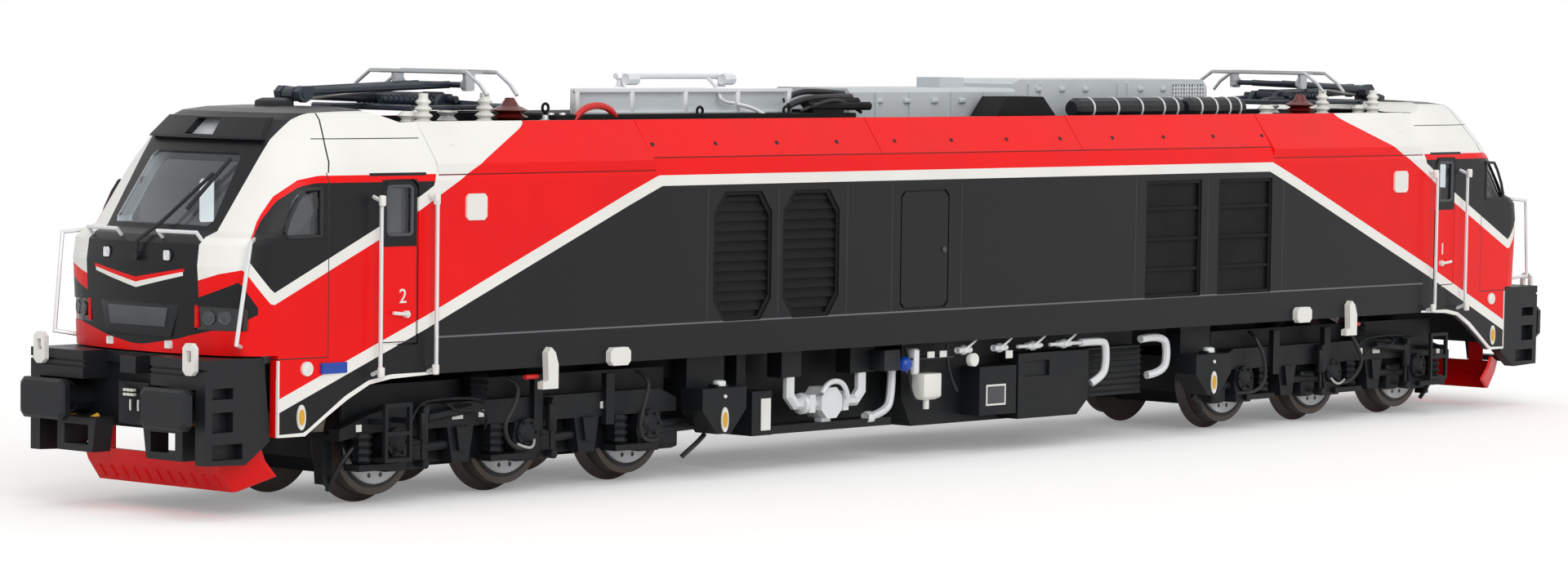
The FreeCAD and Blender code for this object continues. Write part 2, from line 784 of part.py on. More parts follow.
def headlamp_clusters():
    """Lamp blocks that fill the corner openings of the nose."""
    made = []
    rind = cab_solid(pane_inset - 0.05, cab_joint_x).cut(cab_solid(pane_inset + 1.4, cab_joint_x - 5))
    for side in BOTH:
        made += rind.common(cluster_prism(side)).Solids
    return made


def buffers():
    """Two rectangular buffer heads on round shanks at the +X end."""
    made = []
    front = buffer_face_x
    neck = front - buffer_head_thick
    for side in BOTH:
        y, z = side * buffer_y, up(buffer_height)
        hw, hh = buffer_head_width / 2, buffer_head_height / 2
        head = prism_yz(clipped(y - hw, y + hw, z - hh, z + hh, buffer_corner), neck, front - 0.3)
        rings = [(front - 0.3, clipped(y - hw, y + hw, z - hh, z + hh, buffer_corner)),
                 (front, clipped(y - hw + 0.35, y + hw - 0.35, z - hh + 0.35, z + hh - 0.35, buffer_corner))]
        crown = skin([[V(x, a, b) for a, b in ring] for x, ring in rings])
        shank = drum((beam_front_x - 4, y, z), (neck + 0.1, y, z), buffer_shank_radius)
        collar = drum((beam_front_x - 4, y, z), (beam_front_x - 1.6, y, z), buffer_collar_radius)
        made.append(fuse([head, crown, shank, collar]))
    return group(made)


def step_side(side):
    """Side step plate with three recessed treads at one corner of the end."""
    outer = side * beam_half_width
    inner = side * (beam_half_width - step_plate)
    back, front = beam_back_x - 0.8, beam_front_x
    deck_low = up(beam_top - deck_thick)
    plate = prism_xz([(beam_back_x, deck_low), (back, up(beam_low - 0.8)), (back + 3.6, up(beam_low - 3.2)),
                      (front, up(beam_low - 3.0)), (front, deck_low)], inner, outer)
    wells = [box(back + 4, front - 1, inner + side * 0.4, outer + side, up(low), up(high))
             for low, high in ((beam_low + 4.1, beam_low + 6.0), (beam_low + 0.5, beam_low + 2.7),
                               (beam_low - 2.5, beam_low - 0.8))]
    return plate.cut(wells)


def buffer_beam():
    """Black end structure: deck, ribbed corner blocks, beam, side steps and hanging brackets."""
    deck_low = up(beam_top - deck_thick)
    front = beam_front_x
    deck = box(beam_back_x, front - 3.4, -beam_half_width, beam_half_width, deck_low, up(beam_top))
    beam = box(front - 6, front - 4, -beam_half_width, beam_half_width, up(beam_low), deck_low)
    hook = box(front - 4, front - 1.6, -1.3, 1.3, up(beam_top - 2.2), up(beam_top - 0.3))
    pieces = [deck, beam, hook]
    for side in BOTH:
        a, b = up(beam_top - 3.1), up(beam_top)
        ribs = [(front - 4, a), (front, a), (front, a + 1.25), (front - 0.3, a + 1.25),
                (front - 0.3, a + 1.5), (front, a + 1.5), (front, a + 1.85), (front - 0.3, a + 1.85),
                (front - 0.3, a + 2.1), (front, a + 2.1), (front, b), (front - 4, b)]
        pieces.append(prism_xz(ribs, side * 5.6, side * beam_half_width))
        pieces.append(step_side(side))
        low, high = up(beam_low - 2.8), up(beam_low + 1.0)
        hanger = prism_yz([(side * 3.9, high), (side * 10.4, high), (side * 10.4, low),
                           (side * 4.5, low)], front - 3, front - 0.4)
        hanger = hanger.cut(box(front - 9, front + 5, side * 5.2, side * 9.2, low + 0.8, low + 3.0))
        pieces += [hanger, box(front - 4.5, front - 0.4, side * 4.2, side * 10.4, high - 0.6, high)]
    made = fuse(pieces)
    radius, z = buffer_collar_radius + collar_clearance, up(buffer_height)
    holes = [drum((front - 4.01, side * buffer_y, z), (front + 3, side * buffer_y, z), radius)
             for side in BOTH]
    return made.cut(holes)


def snow_plough():
    """Folded steel blade with swept wings and two mounting tabs, at the +X end."""
    t, low = plough_thick, up(plough_low)
    x = beam_front_x - 4.8
    top = up(plough_low + 3.8)
    lean = [(x - 2.3, low), (x - 0.6, low + 2.3), (x, top), (x - t, top), (x - 0.6 - t, low + 2.4),
            (x - 2.3 - t, low)]
    pieces = [prism_xz(lean, -plough_half_width, plough_half_width)]
    for side in BOTH:
        root, tip = side * plough_half_width, side * (plough_half_width + plough_wing)
        swept = [(a - 4.2, b + (1.6 if b < low + 1.3 else 1.0)) for a, b in lean]
        rings = [Part.makePolygon([V(a, y, b) for a, b in pts + pts[:1]])
                 for y, pts in ((root, lean), (tip, swept))]
        pieces.append(Part.makeLoft(rings, True, True))
        pieces.append(box(x - t, x - 0.2, side * 6.4, side * 8.6, top - 0.5, up(beam_low)))
    return fuse(pieces)


def side_face(x):
    """Half width of the body side at x."""
    return half_width - max(0.0, x - taper_x) * taper_slope


def door_rails():
    """Upright handrails beside the doors of the +X cab, on the +Y side."""
    made = []
    for x in (door_centre_x - door_width / 2 - 1.5, door_centre_x + door_width / 2 + 1.1):
        face = side_face(x) + 0.02
        out = face + rail_stand
        low, high = up(sole_height + 0.3), up(side_top - 1.7)
        made.append(bar([(x, face, high), (x, out, high - 0.5), (x, out, low + 0.5), (x, face, low)],
                        rail_radius))
    return made


def nose_rails():
    """Corner handrail of the nose and the bow above the lamp, on the +Y side."""
    top, foot = up(belt_height - 0.6), up(nose_bottom + 1.0)
    corner = bar([(nose_x - 5.6, 13.4, top), (nose_x - 2.9, 15.6, top - 0.4),
                  (nose_x - 1.4, 15.1, foot + 0.4), (nose_x - 3.4, 13.6, foot)], rail_radius)
    brow = up(belt_height - 0.1)
    bow = bar([(nose_x - 1.5, 3.4, brow - 1.2), (nose_x - 0.4, 3.4, brow), (nose_x - 1.0, 9.0, brow),
               (nose_x - 2.1, 9.0, brow - 1.2)], rail_radius - 0.02)
    return [corner, bow]


def wiper():
    """Wiper arm and blade across the windscreen of the +X cab."""
    foot, head = belt_height, eave_height + 2.4

    def outside(y, height, lift):
        nose = nose_x - 2.8 - (height - foot) * 6.7 / (head - foot)
        return nose - front_bow * (y / 10.3) ** 2 + lift

    def spot(y, height, lift):
        return (outside(y, height, lift), y, up(height))

    pivot = (nose_x + 0.35, -0.6, up(foot - 2.9))
    bend = (nose_x + 0.35, -0.8, up(foot - 1.2))
    arm = bar([pivot, bend, spot(-1.8, foot + 1.0, 0.9), spot(-5.4, foot + 6.2, 0.65)], 0.22)
    boss = rod((nose_x - 0.4, -0.6, up(foot - 2.9)), (nose_x + 0.6, -0.6, up(foot - 2.9)), 0.5)
    blade = bar([spot(-4.0, foot + 2.2, 0.5), spot(-6.6, foot + 7.8, 0.5)], 0.24)
    return fuse([arm, boss, blade]).cut(cab_solid(0.0, cab_joint_x))


def end_lamp_brackets():
    """Two looped white lamp irons on the deck of the +X end."""
    made = []
    low, high = up(beam_top - 1.7), up(beam_top + 1.8)
    for side in BOTH:
        y = side * lamp_iron_y
        plate = prism_yz(clipped(y - 0.95, y + 0.95, low, high, 0.5), beam_front_x, beam_front_x + 0.6)
        slot = box(beam_front_x - 1, beam_front_x + 1, y - 0.4, y + 0.4, high - 2.0, high - 0.8)
        made.append(plate.cut(slot))
    return made


def wheelset(x):
    """Two flanged disc wheels on their axle."""
    z = up(axle_height)
    inner = wheel_back_to_back / 2
    outer = inner + wheel_width
    tip = tread_radius + flange_depth
    profile = [(0, inner), (tip, inner), (tread_radius, inner + flange_width), (tread_radius, outer),
               (0, outer)]
    wheel = revolve_y(profile, x, z)
    axle = rod((x, -inner - 0.5, z), (x, inner + 0.5, z), axle_radius)
    return fuse([wheel, flip_y(wheel), axle])


def gearbox(centre):
    """Gear housing between the wheels of one bogie, bored for its three axles."""
    half = gearbox_width / 2
    reach = axle_spacing + gearbox_overhang
    low, high = up(gearbox_low), up(gearbox_high)
    shoulder = high - gearbox_shoulder
    outline = [(centre - reach, low + 1.7), (centre - reach + 1.5, low), (centre + reach - 1.5, low),
               (centre + reach, low + 1.7), (centre + reach, shoulder - 1), (centre + reach - 2, shoulder),
               (centre + 6, shoulder), (centre + 5, high), (centre - 5, high), (centre - 6, shoulder),
               (centre - reach + 2, shoulder), (centre - reach, shoulder - 1)]
    made = prism_xz(outline, -half, half)
    z = up(axle_height)
    bores = [rod((centre + n * axle_spacing, -half - 1, z), (centre + n * axle_spacing, half + 1, z),
                 axle_radius + axle_clearance) for n in (-1, 0, 1)]
    depth = pivot_pin_length + 0.2
    socket = Part.makeCylinder(pivot_pin_radius + pivot_clearance, depth + 1, V(centre, 0, high - depth))
    return made.cut(bores + [socket])


def spring(x, y, low, high, radius=spring_radius):
    """Coil spring drawn as a ribbed column."""
    pitch = (high - low) / spring_turns
    core = radius * spring_core / spring_radius
    profile = [(core, low)]
    for n in range(spring_turns):
        base = low + n * pitch
        profile += [(radius, base + pitch * 0.5), (core, base + pitch)]
    return column(profile, x, y, 6)


def side_frame(centre, out):
    """Side frame of a bogie on the +Y side with its guides; out is the direction of the cab end."""
    y0, y1 = side_frame_y, side_frame_y + side_frame_thick
    low, high = up(side_frame_low), up(side_frame_high)
    inboard = axle_spacing + bogie_tail
    c = centre
    outline = [(c + out * bogie_reach, low - 0.7), (c + out * bogie_reach, low + 0.6),
               (c + out * (bogie_reach - 4.5), high - 0.8), (c + out * (bogie_reach - 8.5), high),
               (c - out * (inboard - 3.0), high), (c - out * inboard, high - 1.2),
               (c - out * inboard, low), (c + out * (bogie_reach - 5.5), low)]
    pieces = [prism_xz(outline, y0, y1)]
    for n in (-1, 0, 1):
        x = c + n * axle_spacing
        a, b = axlebox_width / 2, up(axlebox_low)
        pieces.append(prism_xz([(x - a + 0.4, low), (x + a - 0.4, low), (x + a, b + 2.6), (x + a - 0.6, b),
                                (x - a + 0.6, b), (x - a, b + 2.6)], y0, y1 + 0.3))
        sx = x + out * spring_offset
        seat_y = y0 + 0.1
        reach = out * (spring_offset + spring_radius + 0.3)
        pieces.append(box(x, x + reach, seat_y, y1 + 0.9, up(spring_low - seat_thick), up(spring_low)))
        pieces.append(spring(sx, y0 + 1.3, up(spring_low), low))
    for n in (-0.5, 0.5):
        x, b = c + n * axle_spacing, up(link_low)
        a = link_width / 2
        pieces.append(prism_xz([(x - a, low), (x + a, low), (x + a - 0.8, b), (x - a + 0.8, b)], y0, y1))
        pieces.append(prism_xz([(x - a + 1, low), (x + a - 1, low), (x + 0.6, b + 1.4), (x - 0.6, b + 1.4)],
                               y1, y1 + 0.5))
    sole = up(sole_height) - upper_spring_gap
    pieces.append(spring(c + out * upper_spring_offset, y1 - 1.0, high - 0.1, sole, upper_spring_radius))
    for offset in damper_offsets:
        x = c + out * offset
        pieces.append(box(x - 0.7, x + 0.7, y1 - 0.2, y1 + 0.6, low - 1.0, sole - 0.9))
    return pieces


def ladder(centre, out):
    """Open step frame that hangs under the cab door, on the +Y side."""
    x = centre + out * ladder_offset
    half, b = ladder_width / 2, ladder_bar
    low, high = up(ladder_low), up(ladder_high)
    y0 = ladder_y
    middle = low + (high - low) * 0.45
    frame = box(x - half, x + half, y0, y0 + b, low, high)
    frame = frame.cut([box(x - half + b, x + half - b, y0 - 1, y0 + 1, p, q)
                       for p, q in ((low + b, middle), (middle + b, high - b))])
    tread = box(x - half, x + half, y0 - 1.6, y0 + b, low, low + b)
    hold = up(side_frame_low + 1.0)
    arm_x = x - out * (half - 0.3)
    arms = [box(arm_x - 0.3, arm_x + 0.3, side_frame_y + side_frame_thick - 0.1, y0 + 0.2, hold, hold + 0.6),
            box(x + out * (half - 0.6), x + out * half, side_frame_y + side_frame_thick - 0.1, y0 + 0.2,
                hold, hold + 0.6)]
    return [frame, tread] + arms


def bogie_frame(end):
    """Gear housing, both side frames, cross bars, ladders and rail guards of one bogie."""
    c = end * pivot_x
    y0, y1 = side_frame_y, side_frame_y + side_frame_thick
    low = up(side_frame_low)
    pieces = side_frame(c, end) + ladder(c, end)
    guard = c + end * bogie_reach
    pieces.append(prism_xz([(guard, low), (guard - end * 1.6, low), (guard - end * 1.9, up(guard_low)),
                            (guard - end * 0.5, up(guard_low))], y0 - 2.8, y0 - 1.4))
    pieces.append(box(guard - end * 1.6, guard, y0 - 2.8, y0 + 0.6, low - 0.7, low))
    z = up(side_frame_high - 0.7)
    pieces.append(bar([(c + end * 9.5, y1 + 0.7, z), (c + end * 16.5, y1 + 0.7, z - 0.7)], 0.6))
    half = gearbox_width / 2
    for n in (-0.5, 0.5):
        x = c + n * axle_spacing
        pieces.append(box(x - cross_bar / 2, x + cross_bar / 2, half - 0.1, y0 + 0.2, low + 0.2, low + 1.8))
    return fuse([gearbox(c)] + both_sides(pieces))


def insulator(x, y, low, high, radius, sheds):
    """Post insulator with double-coned sheds."""
    pitch = (high - low) / sheds
    core = radius * insulator_core
    profile = [(core, low)]
    for n in range(sheds):
        base = low + n * pitch
        profile += [(radius, base + pitch * 0.45), (core, base + pitch)]
    return column(profile, x, y, 12)


def insulator_spots():
    ox, oy = post_outer
    ix, iy = post_inner
    x = panto_pivot_x
    return [(x + ox, oy), (x + ox, -oy), (x + ix, iy), (x + ix, -iy)]


def panto_insulators():
    """Four post insulators under one pantograph, at the +X end."""
    return group(insulator(x, y, up(roof_floor_height), up(panto_frame_low), insulator_radius, 2)
                 for x, y in insulator_spots())


def panto_base():
    """Tube frame of a pantograph with the bearings of its lower arm and its spring box."""
    z = up(panto_frame_low) + panto_tube
    c = panto_pivot_x
    outer_x, outer_y = c + post_outer[0], post_outer[1]
    inner_x, inner_y = c + post_inner[0], post_inner[1]
    low = up(panto_frame_low)
    slim = panto_tube - panto_tube_step
    pieces = [bar([(outer_x, -outer_y - 0.6, z), (outer_x, outer_y + 0.6, z)], panto_tube),
              bar([(inner_x, -inner_y - 0.6, z), (inner_x, inner_y + 0.6, z)], panto_tube),
              bar([(outer_x, 0, z), (outer_x + 5.0, 0, z - 0.05)], slim)]
    pivot = up(panto_pivot_height)
    for side in BOTH:
        pieces.append(bar([(outer_x, side * outer_y, z), (inner_x, side * inner_y, z)], slim))
        pieces.append(prism_xz([(c - 2.4, low + 0.1), (c + 2.4, low + 0.1), (c + 0.7, pivot + 0.6),
                                (c - 0.7, pivot + 0.6)], side * 1.6, side * 2.4))
        pieces.append(prism_xz([(c - 5.8, low), (c - 1.0, low), (c - 1.0, pivot - 0.1),
                                (c - 4.6, pivot - 0.3)], side * 2.4, side * 3.6))
    pieces.append(box(c - 3.0, c + 3.0, -6.2, 6.2, low, low + 0.3))
    pieces.append(box(inner_x, outer_x, -0.9, 0.9, low, low + 0.3))
    made = fuse(pieces)
    reach = 5.0
    return made.cut(rod((c, -reach, pivot), (c, reach, pivot), panto_shaft + pin_clearance))


def panto_lower_arm():
    """Lower arm from its shaft in the base to the knee, at the +X end."""
    root = (panto_pivot_x, 0, up(panto_pivot_height))
    knee = (knee_x, 0, up(knee_height))
    shaft = rod((root[0], -3.9, root[2]), (root[0], 3.9, root[2]), panto_shaft)
    hub = drum((root[0], -1.4, root[2]), (root[0], 1.4, root[2]), 0.85)
    line = V(*knee) - V(*root)
    length = line.Length
    arm = turned([(0.8, 0), (0.6, length)], V(*root), line.normalize(), 8)
    boss = drum((knee[0], -0.85, knee[2]), (knee[0], 0.85, knee[2]), 0.85)
    made = fuse([shaft, hub, arm, boss])
    return made.cut(rod((knee[0], -3, knee[2]), (knee[0], 3, knee[2]), panto_pin + pin_clearance))


def panto_upper_arm():
    """Forked upper arm from the knee pin to the head shaft, at the +X end."""
    knee = V(knee_x, 0, up(knee_height))
    head = V(head_x, 0, up(head_height))
    pieces = [rod((knee.x, -2.2, knee.z), (knee.x, 2.2, knee.z), panto_pin),
              rod((head.x, -5.0, head.z), (head.x, 5.0, head.z), panto_pin)]
    for side in BOTH:
        cheek = [(knee.x - 1.2, knee.z - 0.5), (knee.x - 0.2, knee.z - 0.95), (knee.x + 0.7, knee.z - 0.6),
                 (knee.x + 0.9, knee.z + 0.3), (knee.x + 0.2, knee.z + 0.95), (knee.x - 1.6, knee.z + 0.8)]
        pieces.append(prism_xz(cheek, side * 1.1, side * 2.1))
        pieces.append(bar([(knee.x, side * 1.65, knee.z + 0.3), (head.x, side * 2.6, head.z)], 0.46, 8))
    middle = knee * 0.42 + head * 0.58
    pieces.append(bar([(middle.x, -2.2, middle.z + 0.15), (middle.x, 2.2, middle.z + 0.15)], 0.3))
    return fuse(pieces)


def panto_head():
    """Collector head: two carbon strips with horns on their spring links, at the +X end."""
    z = up(strip_height)
    pivot = up(head_height)
    pieces = []
    for side in BOTH:
        x = head_x + side * strip_spacing / 2
        pieces.append(bar([(x, -horn_reach, z - horn_drop), (x, -horn_reach + 1.1, z - 1.4),
                           (x, -strip_half, z), (x, strip_half, z), (x, horn_reach - 1.1, z - 1.4),
                           (x, horn_reach, z - horn_drop)], 0.24))
        pieces.append(box(x - 0.42, x + 0.42, -strip_half + 0.6, strip_half - 0.6, z - 0.1, z + 0.25))
        link = side * 5.9
        pieces.append(box(head_x - strip_spacing / 2, head_x + strip_spacing / 2, link - 0.25,
                          link + 0.25, z - 0.25, z + 0.1))
        pieces.append(prism_xz([(head_x - 0.8, z - 0.1), (head_x + 0.8, z - 0.1),
                                (head_x + 0.65, pivot - 0.65), (head_x - 0.65, pivot - 0.65)],
                               link - 0.25, link + 0.25))
        boss = clipped(head_x - 0.7, head_x + 0.7, pivot - 0.7, pivot + 0.7, 0.4)
        pieces.append(prism_xz(boss, side * 5.2, side * 6.15))
    made = fuse(pieces)
    return made.cut(rod((head_x, -5.1, pivot), (head_x, 5.1, pivot), panto_pin + pin_clearance))


def cooler():
    """Dark base tray of the cooler with two sunken ends."""
    z0 = up(roof_floor_height)
    a, b = tray_x
    half = tray_half_width
    rim = 0.8
    tray = box(a, b, -half, half, z0, z0 + tray_height)
    return tray.cut([box(a + rim, shroud_x[0] - 1, -half + rim, half - rim, z0 + 0.5, z0 + tray_height + 1),
                     box(shroud_x[1] + 1, b - rim, -half + rim, half - rim, z0 + 0.5, z0 + tray_height + 1)])


def cooler_shroud():
    """Pale tapered shroud over the two fans, with pockets along its flanks."""
    z0 = up(roof_floor_height) + tray_height
    z1 = z0 + shroud_height
    a, b = shroud_x
    half, draft = shroud_half_width, shroud_draft

    def level(z, inset):
        pts = [(a + 2 * inset, -half + inset), (b - 2 * inset, -half + inset), (b - 2 * inset, half - inset),
               (a + 2 * inset, half - inset)]
        return [V(x, y, z) for x, y in pts]

    made = skin([level(z0, 0), level(z1, draft)])
    span = b - a
    fans = (a + span * 0.27, a + span * 0.73)
    wells = [drum((x, 0, z1 - 1.2), (x, 0, z1 + 1), fan_radius, 20) for x in fans]
    pockets = []
    rib = 2.2
    pitch = (span - 6 * draft - rib) / shroud_pockets
    for n in range(shroud_pockets):
        x = a + 3 * draft + rib + n * pitch
        for side in BOTH:
            pts = [(side * (half + 1), z0 + 0.35), (side * (half - 0.75), z0 + 0.35),
                   (side * (half - draft - 0.55), z1 - 0.35), (side * (half + 1), z1 - 0.35)]
            pockets.append(prism_yz(pts, x, x + pitch - rib))
    made = made.cut(wells + pockets)
    blades = []
    for x in fans:
        for n in range(3):
            blade = box(x - fan_radius - 0.1, x + fan_radius + 0.1, -0.6, 0.6, z1 - 1.3, z1 - 0.75)
            blade.rotate(V(x, 0, 0), V(0, 0, 1), 60 * n)
            blades.append(blade)
    return fuse([made] + blades)


def roof_bus():
    """High-voltage bar on two posts above the shroud."""
    foot = up(roof_floor_height) + tray_height + shroud_height
    z = foot + bus_lift
    span = shroud_x[1] - shroud_x[0]
    a, b = shroud_x[0] + span * 0.445, shroud_x[0] + span * 0.915
    y = 1.5
    pieces = [bar([(a - 0.8, y, z), (b + 0.8, y, z)], bus_radius, 8)]
    for x in (a, b):
        pieces.append(column([(0.8, foot), (0.4, foot + 0.3), (0.36, z - 0.5), (0.75, z - 0.2),
                              (0.6, z + 0.4)], x, y))
    return fuse(pieces)


def roof_duct():
    """Long pale equipment case with ribs, and the taller resistor case with its vent recess."""
    z0 = up(roof_floor_height)
    a, b = duct_x
    y0, y1 = duct_y
    top = z0 + duct_height
    low = prism_yz([(y0, z0), (y1, z0), (y1, top - 0.5), (y1 - 0.5, top), (y0 + 0.5, top),
                    (y0, top - 0.5)], a, b)
    ribs = [box(a + share * (b - a) - 0.25, a + share * (b - a) + 0.25, y0 - 0.35, y0 + 0.6, z0, top - 0.5)
            for share in (0.15, 0.35, 0.6, 0.8)]
    muffler = drum((a + 0.1, y0 + 3.2, z0 + 2.1), (a - 1.6, y0 + 3.2, z0 + 2.1), 2.0)
    middle = (y0 + y1) / 2
    small = box(b - 9.4, b - 4.6, middle - 1.3, middle + 2.7, top - 0.1, top + 1.3)
    c, d = case_x
    p, q = case_y
    high = z0 + case_height
    tall = prism_xz([(c, z0), (c, high - 0.6), (c + 1.6, high), (d - 1, high), (d, high - 1), (d, z0)],
                    p, q)
    seams = [box(c + share * (d - c) - 0.25, c + share * (d - c) + 0.25, p - 0.3, p + 0.1, z0, high - 0.5)
             for share in (0.08, 0.14, 0.53, 0.58)]
    e, f = case_mesh_x
    mesh = box(e, f, p - 1, p + 0.4, z0 + 1.0, high - 0.6)
    bars = [box(e + (f - e) * n / 4 - 0.15, e + (f - e) * n / 4 + 0.15, p, p + 0.5, z0 + 1.0, high - 0.6)
            for n in (1, 2, 3)]
    return fuse([fuse([low, muffler, small, tall] + ribs + seams).cut(mesh)] + bars)


def air_tanks():
    """Two dark air reservoirs on feet, near the roof edge."""
    made = []
    z0 = up(roof_floor_height)
    r = tank_radius
    z = z0 + r + 0.2
    for x0, x1 in tank_x:
        taper = 0.8
        span = x1 - x0
        tank = turned([(r * 0.7, 0), (r, taper), (r, span - taper), (r * 0.7, span)],
                      V(x0, tank_y, z), V(1, 0, 0), 12)
        feet = [box(x - 0.4, x + 0.4, tank_y - 1, tank_y + 1, z0, z) for x in (x0 + 3, x1 - 3)]
        made.append(fuse([tank] + feet))
    return group(made)


def exhaust_stack():
    """Dark silencer with sloping ends and a sunken top beside the equipment case."""
    z0 = up(roof_floor_height)
    a, b = hood_x
    y0, y1 = hood_y
    top = z0 + hood_height
    made = prism_xz([(a, z0), (a + 3, top), (b - 3.6, top), (b, z0)], y0, y1)
    return made.cut(box(a + 3.3, b - 3.9, y0 + 0.8, y1 - 0.8, top - 1.0, top + 1))


def roof_pipes():
    """Bundle of dark pipes on a bracket between the cooler and the equipment case."""
    z0 = up(roof_floor_height) + tray_height
    a, b = pipes_x
    shelf = shroud_x[1] + 0.6
    edge = 1.0 - tray_half_width
    pieces = [box(shelf + 0.6, tray_x[1] - 1.2, edge, edge + 3.6, up(roof_floor_height) + 0.5, z0 + 0.4)]
    for n, (y, r) in enumerate(((edge + 0.6, 0.55), (edge + 1.8, 0.7), (edge + 3.1, 0.5))):
        z = z0 + 0.4 + r * 0.7 + 0.3 * n
        pieces.append(bar([(shelf + 0.2 + n * 0.8, y, z), (b - n, y, z)], r, 8))
    return fuse(pieces)


def breaker_insulator():
    """Large brown breaker insulator with its metal cap, inboard of the +X pantograph."""
    x, y = panto_pivot_x - breaker_setback, breaker_y
    z0 = up(roof_floor_height)
    post = insulator(x, y, z0, z0 + 2.4, breaker_radius, 3)
    cap = column([(1.2, z0 + 2.3), (0.5, z0 + 3.4)], x, y, 12)
    return fuse([post, cap])


def underfloor_tank():
    """Deep dark case under the middle of the body that carries the other boxes."""
    a, b = tank_body_x
    top, low = up(sole_height), up(case_low)
    outline = [(a, top), (a, low + 3.8), (a + 2, low), (cabinet_two_x[1] - 2, low),
               (vent_x[0], low + 2.2), (b, low + 2.2), (b, top)]
    deep = prism_xz(outline, -tank_half_width, tank_half_width)
    c, d = pump_case_x
    slim = prism_xz([(c, top), (c, low + 2.6), (c + 1.6, low + 1.2), (d, low + 1.2), (d, top)],
                    -pump_case_half, pump_case_half)
    return fuse([deep, slim])


def equipment_boxes():
    """Side cabinets that hang on the central case, on the +Y side."""
    low, y0, face = up(case_low), tank_half_width, cabinet_face_y
    a, b = cabinet_one_x
    head = up(cabinet_head)
    one = box(a, b, y0, face, low + 1.0, head - cabinet_step)
    c, d = cabinet_two_x
    two = prism_xz([(c, low + 0.2), (d - 2.4, low + 0.2), (d, low + 2.2), (d, head), (c, head)],
                   y0, face)
    two = two.cut(box(c + 1, c + 6.4, face - 0.4, face + 1, head - 3.0, head - 1.0))
    e, f = vent_x
    depth = 0.35
    foot = low + 2.3
    pitch = (head - foot) / vent_slats
    vent_y = vent_face_y
    teeth = [(y0, foot)]
    for n in range(vent_slats):
        teeth += [(vent_y, foot + n * pitch), (vent_y - depth, foot + (n + 0.7) * pitch),
                  (vent_y - depth, foot + (n + 1) * pitch)]
    teeth.append((y0, head))
    return [one, two, prism_yz(teeth, e, f)]


def sandboxes():
    """Sand hoppers between bogie and middle cases, both ends and sides."""
    made = []
    half, face = hopper_width / 2, hopper_face_y
    top = up(sole_height - 3.9)
    foot = top - 5.5
    for x in (-hopper_x, hopper_x):
        hopper = prism_xz([(x - half, top), (x + half, top), (x + half, top - 2.6), (x + 1.2, foot),
                           (x - 1.2, foot), (x - half, top - 2.6)], face - hopper_depth, face)
        hanger = box(x - half + 0.6, x + half - 0.6, face - hopper_depth - 2, face - hopper_depth + 0.4,
                     top - 1.5, up(sole_height))
        lid = box(x - 1.0, x + 1.0, face - 1.8, face - 0.4, top - 0.1, top + 0.4)
        made.append(fuse([hopper, hanger, lid]))
    return group(both_sides(made))


def pump_tray():
    """Dark tray, post and bracket blocks that carry the coolant pump, both sides."""
    x, y = pump_x, pump_y
    post = box(x - 14.4, x - 10.8, y - pump_post_depth, y + 1.2, up(pump_floor - 1), up(sole_height - 4.9))
    tray = box(x - 10.9, x + 12.1, y - 2, y + 0.8, up(pump_floor - 1), up(pump_floor))
    strut = box(x - 14.4, x - 12.8, y - pump_post_depth, y - 1.4, up(sole_height - 5), up(sole_height))
    blocks = [box(a, b, y - 1.8, y + 0.6, up(sole_height - 3.5), up(sole_height))
              for a, b in ((x - 8.4, x - 4.8), (x + 4.4, x + 9.0))]
    return group(both_sides([fuse([post, tray, strut])] + blocks))


def coolant_pump():
    """Pale pump with its bent pipes, both sides."""
    x, y, z, r = pump_x, pump_y, up(pump_height), pipe_radius
    top = up(sole_height - 3.5)
    bend = 1.1
    left = bar([(x - 6.4, y, top), (x - 6.4, y, z + bend), (x - 6.4 + bend, y, z), (x - 1, y, z)], r, 8)
    right = bar([(x + 1, y, z), (x + 7.0 - bend, y, z), (x + 7.0, y, z + bend), (x + 7.0, y, top)], r, 8)
    h = pump_radius
    body = prism_xz(clipped(x - h, x + h, z - h, z + h, h * 0.55), y - h * 0.8, y + h * 0.8)
    flanges = [box(p, p + 1.0, y - 1.1, y + 1.1, z - 1.1, z + 1.1) for p in (x - 3.6, x + 2.6)]
    foot = box(x - 0.8, x + 0.8, y - 0.6, y + 0.6, up(pump_floor), z - h * 0.7)
    return group(both_sides([fuse([left, right, body, foot] + flanges)]))


def side_fittings():
    """White jacking brackets, filler caps and square markers on the sides, both ends."""
    made = []
    face = half_width
    for end in BOTH:
        x, z = end * jack_x, up(sole_height)
        bracket = prism_xz([(x - 0.9, z + 1.7), (x - 0.3, z + 2.3), (x + 0.4, z + 1.7), (x + 0.9, z + 0.3),
                            (x + 0.9, z - 2.5), (x - 1.6, z - 2.5), (x - 1.6, z - 1.7), (x - 0.7, z - 1.5)],
                           face, face + 0.9)
        made.append(bracket)
        x = end * filler_x
        made.append(prism_xz(clipped(x - 1.7, x + 1.7, z - 0.3, z + 1.8, 0.5), face, face + 0.8))
        x, top = end * marker_x, up(side_top - 1.6)
        made.append(prism_xz(clipped(x - 1.6, x + 1.6, top - 3.0, top, 0.4), face, face + 0.3))
    return group(both_sides(made))


def export(name, shape):
    """Writes one node and says what it holds."""
    shape.exportStep(os.path.join(OUT, name + ".step"))
    print(f"{name}: {len(shape.Solids)} solids, {shape.Volume:.1f} mm3, valid {shape.isValid()}")


def ends(name, shape):
    """Writes a piece of the +X end and its mirror at the -X end."""
    export(name + "_1", shape)
    export(name + "_2", flip_x(shape))


